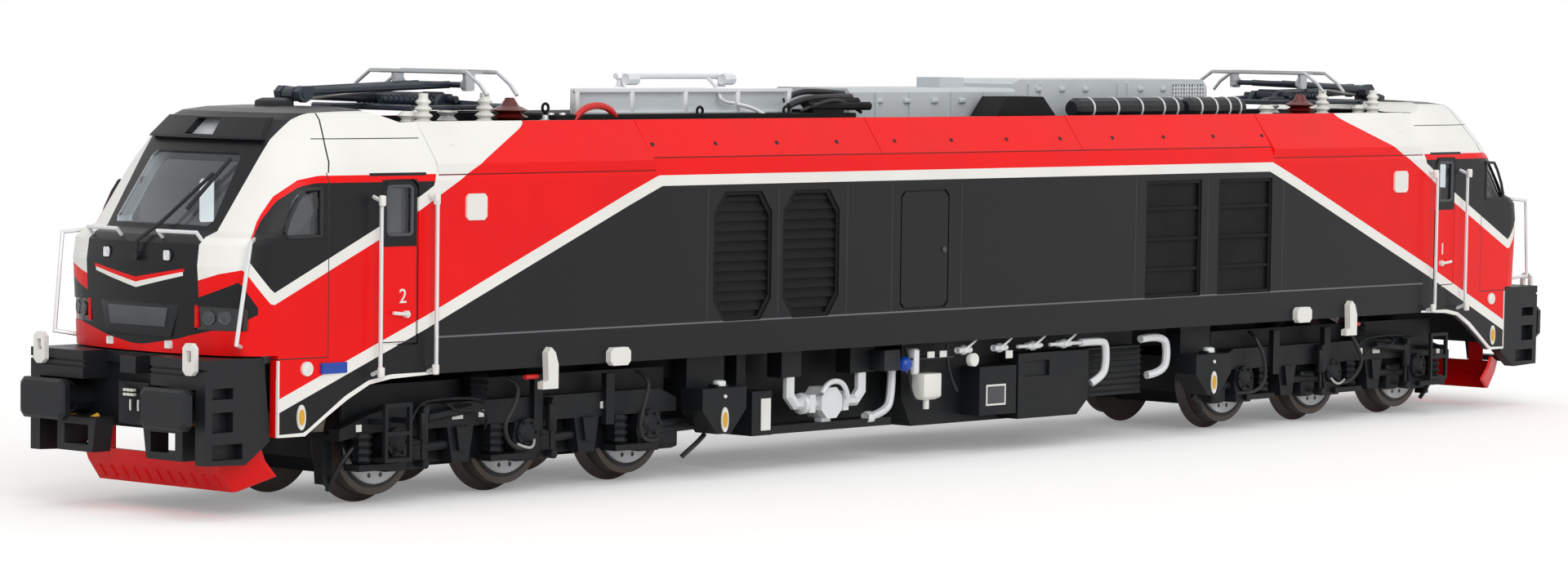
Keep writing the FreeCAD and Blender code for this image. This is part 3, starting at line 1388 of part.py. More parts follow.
def export_body():
    export("body_shell", body_shell())
    export("side_grilles", side_grilles())
    joints = (-roof_joint_x, -hatch_joint_x, hatch_joint_x, roof_joint_x)
    for n in range(3):
        export(f"roof_hatch_{n + 1}", roof_piece(joints[n], joints[n + 1], eave_height, 0.0))
    ends("roof_hood", roof_piece(roof_joint_x, cab_joint_x, hood_bottom, hood_proud))
    export("underframe", underframe())
    ends("cab_interior", cab_interior())
    glass = glass_skin()
    ends("windscreen", glass.common(windscreen_prism()))
    panes = [s for prism in side_window_prisms() for s in glass.common(prism).Solids]
    export("side_glazing", group(panes + [flip_x(p) for p in panes]))
    lamp = glass.common(lamp_prism())
    export("top_lamps", group([lamp, flip_x(lamp)]))
    lamps = headlamp_clusters()
    export("headlamps", group(lamps + [flip_x(s) for s in lamps]))


def export_ends():
    ends("buffers", buffers())
    ends("buffer_beam", buffer_beam())
    ends("snow_plough", snow_plough())
    cab = cab_solid(0.0, cab_joint_x)
    rails = both_sides([rail.cut(cab) for rail in door_rails() + nose_rails()])
    export("handrails", group(rails + [flip_x(r) for r in rails]))
    ends("wiper", wiper())
    irons = end_lamp_brackets()
    export("lamp_irons", group(irons + [flip_x(s) for s in irons]))


def export_equipment():
    export("side_fittings", side_fittings())
    export("underfloor_tank", underfloor_tank())
    export("equipment_boxes", group(both_sides(equipment_boxes())))
    export("sandboxes", sandboxes())
    export("pump_tray", pump_tray())
    export("coolant_pumps", coolant_pump())
    export("cooler_tray", cooler())
    export("cooler_shroud", cooler_shroud())
    export("roof_bus", roof_bus())
    export("roof_duct", roof_duct())
    export("air_tanks", air_tanks())
    export("exhaust_stack", exhaust_stack())
    export("roof_pipes", roof_pipes())
    breaker = breaker_insulator()
    export("breaker_insulators", group([breaker, flip_x(breaker)]))


def export_running_gear():
    for number, end in ((1, 1), (2, -1)):
        first = 1 if end == 1 else 4
        export(f"bogie_{number}_frame", bogie_frame(end))
        for n in range(3):
            export(f"wheelset_{first + n}", wheelset(end * (pivot_x + (1 - n) * axle_spacing)))


def main():
    os.makedirs(OUT, exist_ok=True)
    export_body()
    export_ends()
    export_equipment()
    export_running_gear()
    ends("panto_insulators", panto_insulators())
    ends("panto_base", panto_base())
    ends("panto_lower_arm", panto_lower_arm())
    ends("panto_upper_arm", panto_upper_arm())
    ends("panto_head", panto_head())


os.makedirs("parts", exist_ok=True)
main()
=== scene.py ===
# %% [markdown]
# The solids of this model locomotive come packed from the CAD program as a fixed frame. This lesson
# gives them their finishes and adds the fine fittings around them.

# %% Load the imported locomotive
import bpy
import json
import math
from mathutils import Matrix, Vector

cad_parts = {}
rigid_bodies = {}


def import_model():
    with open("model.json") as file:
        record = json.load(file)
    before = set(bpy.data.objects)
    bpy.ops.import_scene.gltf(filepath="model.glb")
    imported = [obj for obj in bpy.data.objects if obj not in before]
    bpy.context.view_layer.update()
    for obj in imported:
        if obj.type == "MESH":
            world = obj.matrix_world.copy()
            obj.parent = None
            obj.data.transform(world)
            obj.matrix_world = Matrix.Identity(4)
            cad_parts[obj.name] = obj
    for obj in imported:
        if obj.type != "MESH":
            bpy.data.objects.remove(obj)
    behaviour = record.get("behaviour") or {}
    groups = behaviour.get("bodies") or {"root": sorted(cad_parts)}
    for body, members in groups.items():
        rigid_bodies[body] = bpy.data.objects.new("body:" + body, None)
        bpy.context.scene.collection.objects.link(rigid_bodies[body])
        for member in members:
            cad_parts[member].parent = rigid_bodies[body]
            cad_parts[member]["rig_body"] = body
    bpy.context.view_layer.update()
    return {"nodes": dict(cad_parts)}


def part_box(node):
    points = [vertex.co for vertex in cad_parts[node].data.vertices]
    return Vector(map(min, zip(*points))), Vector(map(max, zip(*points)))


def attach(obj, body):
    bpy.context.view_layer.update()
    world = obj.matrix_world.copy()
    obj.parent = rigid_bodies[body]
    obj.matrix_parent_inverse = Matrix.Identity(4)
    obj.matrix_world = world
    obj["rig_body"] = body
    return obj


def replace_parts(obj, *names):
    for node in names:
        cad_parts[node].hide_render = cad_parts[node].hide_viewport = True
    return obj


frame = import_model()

nodes = frame["nodes"]
MM = 0.001
RAIL = 1.0  # height of the rail top, in millimetres
print("nodes loaded:", len(nodes))


def at(x, y, z):
    """Place in metres of a point in millimetres, with its height counted from the rail top."""
    return Vector((x * MM, y * MM, (z + RAIL) * MM))

# %% [markdown]
# The camera stands where the photographer stood: low, near one cab, looking along the side.
# A long lens keeps the far cab large. The eye point and the three directions were fitted to
# the wheels, the rails and the edges of the body, so they are typed in as they are.

# %% Camera
yaw, pitch, roll = 0.84393, 0.06798, 0.01394
eye = Vector((-0.486056, -0.413017, 0.055335))
look = Vector((math.sin(yaw) * math.cos(pitch), math.cos(yaw) * math.cos(pitch), -math.sin(pitch)))
level_right = look.cross(Vector((0, 0, 1))).normalized()
level_up = level_right.cross(look)
right = math.cos(roll) * level_right + math.sin(roll) * level_up
top = -math.sin(roll) * level_right + math.cos(roll) * level_up
camera_data = bpy.data.cameras.new("camera")
camera = bpy.data.objects.new("camera", camera_data)
bpy.context.collection.objects.link(camera)
camera.matrix_world = Matrix((
    (right.x, top.x, -look.x, eye.x),
    (right.y, top.y, -look.y, eye.y),
    (right.z, top.z, -look.z, eye.z),
    (0, 0, 0, 1)))
photo_width, photo_height, focal_length = 1920, 687, 6065.23  # pixels
middle_x, middle_y = 949.14, 433.73  # where the axis of the lens meets the photograph, in pixels
camera_data.sensor_width = 36
camera_data.lens = focal_length / photo_width * 36
camera_data.shift_x = (photo_width / 2 - middle_x) / photo_width
camera_data.shift_y = (middle_y - photo_height / 2) / photo_width
camera_data.clip_start = 0.01
bpy.context.scene.camera = camera
print("camera lens", round(camera_data.lens, 1), "mm")

# %% [markdown]
# Two small helpers serve every finish. A colour is picked on screen as an sRGB code, but light adds
# up in linear values, so one function converts it. The other adds a shader node and wires it.

# %% Colours and nodes


def colour(code):
    """Linear colour from an sRGB hex code."""
    parts = [int(code[n:n + 2], 16) / 255 for n in (1, 3, 5)]
    return [c / 12.92 if c <= 0.04045 else ((c + 0.055) / 1.055) ** 2.4 for c in parts] + [1.0]


def add(tree, kind, inputs=None, **settings):
    """Adds one node, sets its properties, and fills its inputs or links them to other nodes."""
    node = tree.nodes.new("ShaderNode" + kind)
    for name, value in settings.items():
        setattr(node, name, value)
    for name, value in (inputs or {}).items():
        if isinstance(value, bpy.types.Node):
            value = value.outputs[0]
        if isinstance(value, bpy.types.NodeSocket):
            tree.links.new(value, node.inputs[name])
        else:
            node.inputs[name].default_value = value
    return node


def empty_material(name):
    """Material with an empty node tree."""
    material = bpy.data.materials.new(name)
    material.use_nodes = True
    material.node_tree.nodes.clear()
    return material, material.node_tree

# %% [markdown]
# Plain studio light. The world gives an even glow from all sides, and two soft suns shape the
# model: one from behind the camera's left shoulder, one from overhead. A sun is the same strength
# everywhere, so the far floor stays as pale as the near floor. The levels add up to about one,
# so a colour renders about as it is written.

# %% World and lamps
world = bpy.data.worlds.new("studio")
bpy.context.scene.world = world
world.use_nodes = True
tree = world.node_tree
tree.nodes.clear()
rays = add(tree, "LightPath")
seen = add(tree, "Math", {0: rays.outputs["Is Camera Ray"], 1: rays.outputs["Is Glossy Ray"]},
           operation="MAXIMUM")
seen = add(tree, "Math", {0: seen, 1: rays.outputs["Is Transmission Ray"]}, operation="MAXIMUM")
glow = add(tree, "Background", {"Color": (1, 1, 1, 1), "Strength": 0.5})
white = add(tree, "Background", {"Color": (1, 1, 1, 1), "Strength": 1.0})
mix = add(tree, "MixShader", {0: seen, 1: glow, 2: white})
add(tree, "OutputWorld", {"Surface": mix})

for name, towards, strength, spread in (("camera side sun", (0.45, 0.75, -0.5), 1.25, 40),
                                        ("overhead sun", (0.1, 0.1, -1.0), 0.55, 50)):
    sun = bpy.data.lights.new(name, "SUN")
    sun.energy = strength
    sun.angle = math.radians(spread)
    lamp = bpy.data.objects.new(name, sun)
    bpy.context.collection.objects.link(lamp)
    lamp.rotation_euler = Vector(towards).to_track_quat("-Z", "Y").to_euler()
print("suns:", len(bpy.data.lights))

# %% [markdown]
# The model stands on a sheet of white paper. The camera sees the paper a little brighter than it is
# lit, so it stays white as in a studio picture and still keeps the shadow under the model.

# %% Floor
bpy.ops.object.select_all(action="DESELECT")
bpy.ops.mesh.primitive_plane_add(size=12, location=(0, 0, 0))
floor = bpy.context.object
floor.name = "floor"
paper, tree = empty_material("white studio paper")
rays = add(tree, "LightPath")
fibre = add(tree, "TexNoise", {"Vector": add(tree, "TexCoord").outputs["Object"], "Scale": 900.0})
tint = add(tree, "Mix", {0: fibre, 6: colour("#FAFAF9"), 7: colour("#F4F4F3")}, data_type="RGBA")
matt = add(tree, "BsdfDiffuse", {"Color": tint.outputs[2]})
lift = add(tree, "Emission", {"Color": (1, 1, 1, 1), "Strength": 0.22})
shown = add(tree, "AddShader", {0: matt, 1: lift})
both = add(tree, "MixShader", {0: rays.outputs["Is Camera Ray"], 1: matt, 2: shown})
add(tree, "OutputMaterial", {"Surface": both})
floor.data.materials.append(paper)
print("floor of", paper.name)

# %% [markdown]
# Moulded plastic and painted metal look alike on a model this small: one colour that wanders a
# little, a fine grain that breaks the highlight, and a gloss that isn't quite even. The grain of
# a real moulding is a few hundredths of a millimetre. It is drawn at about half a millimetre,
# because nothing finer would show in the render.

# %% One recipe for plain finishes


def finish_of(name, base, tone, rough, grain=0.5, relief=0.006, patch=6.0, **shader):
    """Material whose colour wanders between two tones, with a grain in its gloss and relief."""
    material, tree = empty_material(name)
    place = add(tree, "TexCoord").outputs["Object"]
    cloud = add(tree, "TexNoise", {"Vector": place, "Scale": 1000 / patch, "Detail": 4.0})
    fine = add(tree, "TexNoise", {"Vector": place, "Scale": 1000 / grain, "Detail": 2.0})
    tint = add(tree, "Mix", {0: cloud, 6: colour(base), 7: colour(tone)}, data_type="RGBA")
    gloss = add(tree, "MapRange", {0: cloud, 1: 0.3, 2: 0.7, 3: rough[0], 4: rough[1]})
    bump = add(tree, "Bump", {"Strength": 0.6, "Distance": relief * MM, "Height": fine})
    inputs = {"Base Color": tint.outputs[2], "Roughness": gloss, "Normal": bump}
    for socket, value in shader.items():
        inputs[socket.replace("_", " ")] = value
    body = add(tree, "BsdfPrincipled", inputs)
    add(tree, "OutputMaterial", {"Surface": body})
    return material


# Moulded ABS is even and satin: the eye sees one soft, broad highlight.
black_abs = finish_of("black ABS, moulded", "#151719", "#1D1F22", (0.38, 0.5), IOR=1.53,
                      Specular_IOR_Level=0.3)
# Blackened castings are duller and rougher than plastic. Their black is painted darker than their own:
# painted shade, for the deep shade under the body where they all hang.
zinc_and_painted_shade = finish_of("blackened die-cast zinc", "#0B0D0F", "#14171A", (0.42, 0.6), grain=0.8, relief=0.012,
                 IOR=1.5, Specular_IOR_Level=0.3)
white_abs = finish_of("white ABS, moulded", "#F0EFEA", "#E6E5DF", (0.35, 0.45), IOR=1.53)
# Sprayed lacquer is smoother than the moulding under it. Metal flakes give the silver its sparkle.
pale_paint = finish_of("pale grey lacquer on ABS", "#CDD2D5", "#BEC4C8", (0.35, 0.5), IOR=1.5)
silver_paint = finish_of("silver lacquer on ABS", "#EDEFF0", "#DADDDF", (0.3, 0.42), Metallic=0.2)
plough_lacquer = finish_of("red lacquer on etched steel", "#EE0A0C", "#DC0709", (0.3, 0.42), IOR=1.5,
                           Specular_IOR_Level=0.3)
panto_lacquer = finish_of("blue-grey lacquer on etched brass", "#2F3844", "#252D38", (0.35, 0.5), IOR=1.5)
# Bare metals mirror the room, browned steel only faintly.
nickel = finish_of("drawn nickel silver wire", "#C9C8C2", "#B3B2AC", (0.28, 0.4), Metallic=0.6)
strip_metal = finish_of("etched nickel silver, bare", "#CACDCF", "#B2B7BB", (0.3, 0.42), Metallic=0.3)
tyre_steel = finish_of("turned steel tyre, browned", "#5E554F", "#4B4440", (0.32, 0.5), Metallic=0.7,
                       grain=0.3)
# The disc grey is painted paler than its lacquer: painted light against the shade the discs sit in.
disc_grey_with_painted_light = finish_of("grey lacquer on brass disc", "#D2D4D6", "#BEC1C4", (0.35, 0.5), Metallic=0.2)
# The insulators are polished in the mould, so they gleam like glazed porcelain.
brown_glaze = finish_of("brown ABS, high gloss", "#6E1A18", "#571413", (0.18, 0.3), IOR=1.53)
white_glaze = finish_of("white ABS, high gloss", "#F2F1EC", "#E4E3DC", (0.2, 0.3), IOR=1.53)
# Small fittings are moulded in their own colour. Hose and seal are rubbery and almost matt.
grey_abs = finish_of("dark grey ABS, moulded", "#4A4D52", "#3E4146", (0.45, 0.6), IOR=1.53)
yellow_abs = finish_of("yellow ABS, moulded", "#E6AE2A", "#D8A022", (0.35, 0.45), IOR=1.53)
blue_abs = finish_of("blue ABS, moulded", "#0E47B4", "#0B3C9A", (0.3, 0.4), IOR=1.53)
red_hose = finish_of("red PVC hose", "#D81E1A", "#C01814", (0.3, 0.42), IOR=1.54)
rubber = finish_of("black rubber, moulded", "#121316", "#1A1B1E", (0.5, 0.65), IOR=1.52)
print("plain finishes:", len(bpy.data.materials) - 1)

# %% [markdown]
# Glazing is clear injected polystyrene: thin, slightly grey, with a hard mirror-like surface. A
# pane this thin hardly bends the light, so it is mixed from see-through and mirror by the viewing
# angle. The lamp covers are the same plastic, smoked, over two pale reflectors.

# %% Glazing, lamp covers and the last finishes
glass, tree = empty_material("clear polystyrene glazing")
place = add(tree, "TexCoord").outputs["Object"]
wave = add(tree, "TexNoise", {"Vector": place, "Scale": 1000 / 14.0, "Detail": 1.0})
bump = add(tree, "Bump", {"Strength": 0.1, "Distance": 0.004 * MM, "Height": wave})
smear = add(tree, "MapRange", {0: wave, 3: 0.01, 4: 0.04})
tint = add(tree, "Mix", {0: wave, 6: colour("#FAFCFD"), 7: colour("#F4F7F9")}, data_type="RGBA")
mirror = add(tree, "BsdfGlossy", {"Color": (0.98, 0.99, 1.0, 1), "Roughness": smear, "Normal": bump})
clear = add(tree, "BsdfTransparent", {"Color": tint.outputs[2]})
edge = add(tree, "LayerWeight", {"Blend": 0.5, "Normal": bump})
steep = add(tree, "Math", {0: edge.outputs["Facing"], 1: 5.0}, operation="POWER")
share = add(tree, "Math", {0: steep, 1: 0.95, 2: 0.05}, operation="MULTIPLY_ADD")
pane = add(tree, "MixShader", {0: share, 1: clear, 2: mirror})
add(tree, "OutputMaterial", {"Surface": pane})

# The smoked covers are nearly as smooth as the panes. The small lenses are frosted, and their grey is
# painted paler than their own: painted light against the shade of their recesses.
smoked = finish_of("smoked polystyrene lamp cover", "#1B1D20", "#25282C", (0.06, 0.12), grain=1.2,
                   relief=0.002, IOR=1.59)
reflector = finish_of("pale reflector behind smoked cover", "#3F4448", "#2F3438", (0.15, 0.3), IOR=1.59)
lens = finish_of("frosted polystyrene lens", "#C9CED2", "#B4BABF", (0.2, 0.3), grain=0.9, relief=0.02,
                 IOR=1.59)
# The last three: a red strip as plain as its moulding, etched mesh that stays dark, and the cab's
# matt pale grey, painted paler than its own grey: painted light for the light through the windows.
red_abs = finish_of("red ABS, moulded", "#F0090C", "#DE080A", (0.3, 0.4), IOR=1.5, Specular_IOR_Level=0.22)
mesh_black = finish_of("blackened fine mesh and louvres", "#08090A", "#0F1011", (0.55, 0.7), grain=0.5,
                       relief=0.02, IOR=1.5, Specular_IOR_Level=0.2)
cab_grey_with_painted_light = finish_of("pale grey ABS, cab fittings", "#C6CACD", "#B7BBBF", (0.5, 0.65), IOR=1.53)
print("finishes:", len(bpy.data.materials))

# %% [markdown]
# The body is moulded in plastic and then pad-printed. Every colour field of the livery ends on a
# crisp line, so each line is typed once, as a height along the body, in a Float Curve node. The
# distance along the body is its length coordinate, carried on round the corner of the nose: how
# far a point lies inside the flank is added to it, so one set of lines serves the side and the
# front. Both ends and both sides share the design, so the coordinates are made positive first.

# %% Livery lines
SPAN, TALL, WIDE = 150.0, 50.0, 20.0  # reach of the curves along, up and across
HALF_WIDTH, CAB_START, DRAW_IN = 16.44, 99.0, 0.0555  # the side draws in from the cab to the nose
NOSE_START = 106.0  # beyond it a line is carried round the corner of the nose
lines = {
    "stripe top": [(0, 35.6), (61.0, 35.6), (66, 33.7), (120, 12.0), (150, 0)],
    "stripe foot": [(0, 34.35), (60.4, 34.35), (66, 32.2), (120, 10.5), (150, 0)],
    "skirt edge": [(0, 0), (96.6, 0), (96.7, 14.15), (104, 14.1), (107.3, 13.55), (110.6, 12.0),
                   (116.4, 8.2), (120.2, 8.1), (120.3, 50), (150, 50)],
    "white foot": [(0, 50), (79.8, 50), (79.9, 42.1), (81.0, 41.3), (89.5, 37.7), (92.1, 36.4), (97.3, 33.7),
                   (105.7, 29.2), (121.0, 22.2), (125.2, 26.2), (128.9, 25.7), (133.9, 24.5), (150, 24.5)],
    "window foot": [(0, 50), (96.9, 50), (97.3, 35.3), (105.7, 30.65), (120.8, 23.6), (124.6, 27.3),
                    (125.2, 50), (150, 50)],
    "window head": [(0, 0), (96.9, 0), (97.0, 35.5), (115.0, 35.5), (117.5, 35.1), (120.9, 33.5),
                    (123.2, 31.2), (124.4, 28.8), (124.7, 27.2), (124.8, 0), (150, 0)],
    "arch head": [(0, 0), (92.4, 0), (92.5, 36.3), (114.5, 36.3), (117.8, 35.8), (121.4, 34.0),
                  (123.5, 31.6), (124.5, 29.0), (124.8, 27.2), (124.9, 0), (150, 0)],
    "nose foot": [(0, 50), (122.4, 50), (122.5, 21.5), (126.2, 20.2), (133.7, 18.8), (135.4, 18.4),
                  (140.9, 17.6), (150, 17.6)],
    "nose head": [(0, 0), (122.4, 0), (122.5, 21.5), (125.8, 24.9), (127.4, 24.4), (133.0, 22.8),
                  (133.2, 26.0), (150, 26.0)],
}
flank = [(0, HALF_WIDTH), (35.6, HALF_WIDTH), (37.7, 15.87), (40.1, 14.1), (42.3, 12.54), (43.0, 11.84),
         (43.4, 10.0), (43.6, 7.0)]
mask_edge = [(0, 9.3), (24.7, 9.2), (30, 9.1), (40.2, 9.7), (42.9, 10.0), (43.3, 10.8), (50, 11.0)]
print("livery lines:", len(lines))

# %% [markdown]
# The lines need each point's place along, across and up, in millimetres. The inner faces of the
# shell are told from the outer ones by the way they look: an inner face looks back to the middle.

# %% Livery coordinates
livery, tree = empty_material("pad-printed livery on moulded ABS")
place = add(tree, "TexCoord").outputs["Object"]
axes = add(tree, "SeparateXYZ", {0: place})
mm = {}
for n, axis in enumerate("xyz"):
    scaled = add(tree, "Math", {0: axes.outputs[n], 1: 1 / MM}, operation="MULTIPLY")
    shift = "ABSOLUTE" if axis in "xy" else "SUBTRACT"
    mm[axis] = add(tree, "Math", {0: scaled, 1: RAIL}, operation=shift)
x, y, z = mm["x"], mm["y"], mm["z"]


def follow(along, points, span, tall):
    """Height in millimetres of a typed line above each place along it."""
    share = add(tree, "Math", {0: along, 1: span}, operation="DIVIDE")
    curve = add(tree, "FloatCurve", {"Value": share})
    knots = curve.mapping.curves[0].points
    while len(knots) < len(points):
        knots.new(0.5, 0.5)
    for knot, (place_along, level) in zip(knots, points):
        knot.location = (place_along / span, level / tall)
        knot.handle_type = "VECTOR"
    curve.mapping.update()
    return add(tree, "Math", {0: curve, 1: tall}, operation="MULTIPLY")


past = add(tree, "Math", {0: x, 1: CAB_START}, operation="SUBTRACT")
past = add(tree, "Math", {0: past, 1: 0.0}, operation="MAXIMUM")
side_y = add(tree, "Math", {0: past, 1: -DRAW_IN, 2: follow(z, flank, TALL, WIDE)}, operation="MULTIPLY_ADD")
inward = add(tree, "Math", {0: side_y, 1: y}, operation="SUBTRACT")
inward = add(tree, "Math", {0: inward, 1: 0.0}, operation="MAXIMUM")
on_nose = add(tree, "Math", {0: x, 1: NOSE_START}, operation="GREATER_THAN")
around = add(tree, "Math", {0: inward, 1: on_nose, 2: x}, operation="MULTIPLY_ADD")
height = {name: follow(around, points, SPAN, TALL) for name, points in lines.items()}
mask_half = follow(z, mask_edge, TALL, WIDE)
normal = tree.nodes["Texture Coordinate"].outputs["Normal"]
facing = add(tree, "SeparateXYZ", {0: normal}).outputs[1]
facing = add(tree, "Math", {0: facing, 1: axes.outputs[1]}, operation="MULTIPLY")
signed = add(tree, "Math", {0: axes.outputs["X"], 1: 1 / MM}, operation="MULTIPLY")
print("nodes for the coordinates:", len(tree.nodes))

# %% [markdown]
# The fields are laid one over another like the printing pads: each pad is a colour and a few tests
# that must all hold, such as "above this line" and "behind that place". The thin dark lines are the
# moulded seams of the cab, its door and the side panels, and the grey one is a printed pinstripe. The
# dark red lines under the roof hatches and hoods are painted shade in their grooves.

# %% Livery fields
black, white, red, grey, painted_groove_shade, seam = "#1C1D1F", "#F0EFEA", "#F0090C", "#6A6C6F", "#7C090B", "#2B2C2E"
panel, lining_grey_and_painted_light = "#35373A", "#BEC2C5"
rise = {}
for name, along, slope, start in (("chevron top", y, 0.162, 24.95), ("chevron middle", y, 0.19, 24.4),
                                  ("chevron foot", y, 0.216, 23.8), ("seam", z, -0.366, 126.17),
                                  ("seam edge", z, -0.366, 126.35)):
    rise[name] = add(tree, "Math", {0: along, 1: slope, 2: start}, operation="MULTIPLY_ADD")
fields = [  # colour, then pairs: the first is greater than the second
    (black, [(height["stripe foot"], z), (119.9, x)]),
    (grey, [(z, 17.9), (18.1, z), (97.5, x)]),
    (white, [(z, height["stripe foot"]), (height["stripe top"], z), (120.2, x)]),
    (white, [(height["skirt edge"], z), (x, 96.7), (120.3, x), (14.2, z), (0.3, inward)]),
    (white, [(x, 119.95), (120.3, x), (16.2, z), (0.25, inward)]),
    (white, [(z, height["white foot"])]),
    (red, [(z, height["window foot"]), (height["arch head"], z)]),
    (black, [(z, height["window foot"]), (height["window head"], z)]),
    (black, [(z, 28.3), (35.75, z), (x, 100.35), (105.5, x)]),
    (black, [(z, height["nose foot"]), (height["nose head"], z)]),
    (black, [(mask_half, y), (z, 22.9), (x, 103.4)]),
    (white, [(z, rise["chevron foot"]), (rise["chevron middle"], z), (7.2, y), (x, 126.0)]),
    (red, [(z, rise["chevron middle"]), (rise["chevron top"], z), (7.4, y), (x, 126.0)]),
    (black, [(x, 98.9), (107.2, x), (z, 36.15), (36.5, z), (y, 14.0)]),
    (seam, [(x, 113.05), (113.17, x), (z, 16.4), (36.6, z), (y, 14.0)]),
    (seam, [(x, 113.1), (z, 16.3), (16.42, z)]),
    (seam, [(x, 105.4), (105.52, x), (z, 17.6), (28.4, z)]),
    (seam, [(x, 100.3), (100.42, x), (z, 17.6), (28.4, z)]),
    (seam, [(x, 100.3), (105.5, x), (z, 17.6), (17.72, z)]),
    (seam, [(x, rise["seam"]), (rise["seam edge"], x), (z, 36.6), (y, 9.9)]),
    (seam, [(x, 98.0), (113.0, x), (z, 40.2), (40.31, z), (y, 10.0)]),
    # Painted shade: dark red lines in the grooves under the roof hatches and the end hoods.
    (painted_groove_shade, [(61.4, x), (z, 37.58), (37.74, z)]),
    (painted_groove_shade, [(x, 61.4), (97.0, x), (z, 36.1), (36.24, z)]),
    (black, [(inward, 0.6), (z, 41.1), (100.0, x)]),  # the edge of the roof
    # Partly the pale grey of the cab, partly painted light for the light that falls in through the windows.
    (lining_grey_and_painted_light, [(-0.004, facing), (x, 97.0), (z, 15.0)]),  # the lining of the cab
]
half_seam = 0.07
for joint in (-52.4, -39.75, -27.1, -18.6, -5.1, 30.8, 46.5, 63.6):
    fields.insert(1, (panel, [(signed, joint - half_seam), (joint + half_seam, signed), (z, 18.1), (33.9, z),
                              (y, 16.0)]))
paint = colour(red)
for code, tests in fields:
    mask = None
    for more, less in tests:
        test = add(tree, "Math", {0: more, 1: less}, operation="GREATER_THAN")
        if mask:
            test = add(tree, "Math", {0: mask, 1: test}, operation="MULTIPLY")
        mask = test
    paint = add(tree, "Mix", {0: mask, 6: paint, 7: colour(code)}, data_type="RGBA").outputs[2]
print("livery fields:", len(fields))

# %% [markdown]
# Under the print the body is the same moulded plastic as the rest. A faint cloud varies its tone and
# its gloss, and a fine grain breaks up the highlight.

# %% Livery surface
cloud = add(tree, "TexNoise", {"Vector": place, "Scale": 1000 / 12.0, "Detail": 4.0})
fine = add(tree, "TexNoise", {"Vector": place, "Scale": 1000 / 0.5, "Detail": 2.0})
worn = add(tree, "MapRange", {0: cloud, 1: 0.35, 2: 0.65, 3: 0.96, 4: 1.03})
paint = add(tree, "VectorMath", {0: paint, "Scale": worn}, operation="SCALE")
gloss = add(tree, "MapRange", {0: cloud, 1: 0.3, 2: 0.7, 3: 0.3, 4: 0.4})
bump = add(tree, "Bump", {"Strength": 0.5, "Distance": 0.004 * MM, "Height": fine})
body = add(tree, "BsdfPrincipled", {"Base Color": paint, "Roughness": gloss, "Normal": bump, "IOR": 1.5,
                                    "Specular IOR Level": 0.22})
add(tree, "OutputMaterial", {"Surface": body})
print("livery nodes:", len(tree.nodes))

# %% [markdown]
# Every piece that came from the CAD program keeps its shape and takes one of these finishes in
# place of the plain colour it was packed with.

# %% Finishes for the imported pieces
dress = {
    livery: ["body_shell", "roof_hatch_1", "roof_hatch_2", "roof_hatch_3", "roof_hood_1", "roof_hood_2"],
    glass: ["windscreen_1", "windscreen_2", "side_glazing"],
    smoked: ["headlamps"],
    lens: ["top_lamps"],
    black_abs: ["buffer_beam_1", "buffer_beam_2", "buffers_1", "buffers_2", "wiper_1", "wiper_2",
                "air_tanks"],
    mesh_black: ["side_grilles", "cooler_tray", "exhaust_stack", "roof_pipes"],
    zinc_and_painted_shade: ["bogie_1_frame", "bogie_2_frame", "underframe", "sandboxes", "pump_tray", "underfloor_tank",
           "equipment_boxes"],
    white_abs: ["lamp_irons", "side_fittings"],
    pale_paint: ["cooler_shroud", "roof_duct"],
    silver_paint: ["coolant_pumps", "roof_bus", "handrails"],
    plough_lacquer: ["snow_plough_1", "snow_plough_2"],
    panto_lacquer: ["panto_base_1", "panto_base_2", "panto_lower_arm_1", "panto_lower_arm_2",
                    "panto_upper_arm_1", "panto_upper_arm_2"],
    strip_metal: ["panto_head_1", "panto_head_2"],
    tyre_steel: [f"wheelset_{n}" for n in range(1, 7)],
    brown_glaze: ["breaker_insulators"],
    white_glaze: ["panto_insulators_1", "panto_insulators_2"],
    cab_grey_with_painted_light: ["cab_interior_1", "cab_interior_2"],
}
dressed = set()
for material, names in dress.items():
    for name in names:
        for slot in nodes[name].material_slots:
            slot.material = material
        dressed.add(name)
print("left undressed:", sorted(set(nodes) - dressed))

# %% [markdown]
# The small fittings are modelled as by hand: a primitive is added at its size and place, faces are
# picked by where they are or which way they look, and they are inset, extruded or scaled. A bevel
# then breaks the sharp edges, as the mould or the etching does on the real part. Everything is
# typed in millimetres, with heights counted from the rail top.

# %% Helpers that make a mesh


def deselect():
    """Leaves edit mode and selects nothing."""
    if bpy.context.object and bpy.context.object.mode != "OBJECT":
        bpy.ops.object.mode_set(mode="OBJECT")
    bpy.ops.object.select_all(action="DESELECT")


def choose(piece):
    """Selects one piece alone and makes it active."""
    deselect()
    piece.select_set(True)
    bpy.context.view_layer.objects.active = piece


def placed(name):
    """Names the new object and moves its place, turn and size into its mesh."""
    piece = bpy.context.object
    piece.name = name
    bpy.ops.object.transform_apply(location=True, rotation=True, scale=True)
    return piece


def block(name, x, y, z):
    """Cube that fills three ranges."""
    deselect()
    low, high = at(min(x), min(y), min(z)), at(max(x), max(y), max(z))
    bpy.ops.mesh.primitive_cube_add(size=1, location=(low + high) / 2, scale=high - low)
    return placed(name)


def barrel(name, start, end, radius, sides=24):
    """Cylinder between two points."""
    deselect()
    a, b = at(*start), at(*end)
    turn = (b - a).to_track_quat("Z", "Y").to_euler()
    bpy.ops.mesh.primitive_cylinder_add(vertices=sides, radius=radius * MM, depth=(b - a).length,
                                        location=(a + b) / 2, rotation=turn)
    return placed(name)

# %% [markdown]
# A face is picked by the way it looks, or by its place. Its number in the list would tell a reader
# nothing, and would change with every edit.

# %% Helpers that shape a mesh


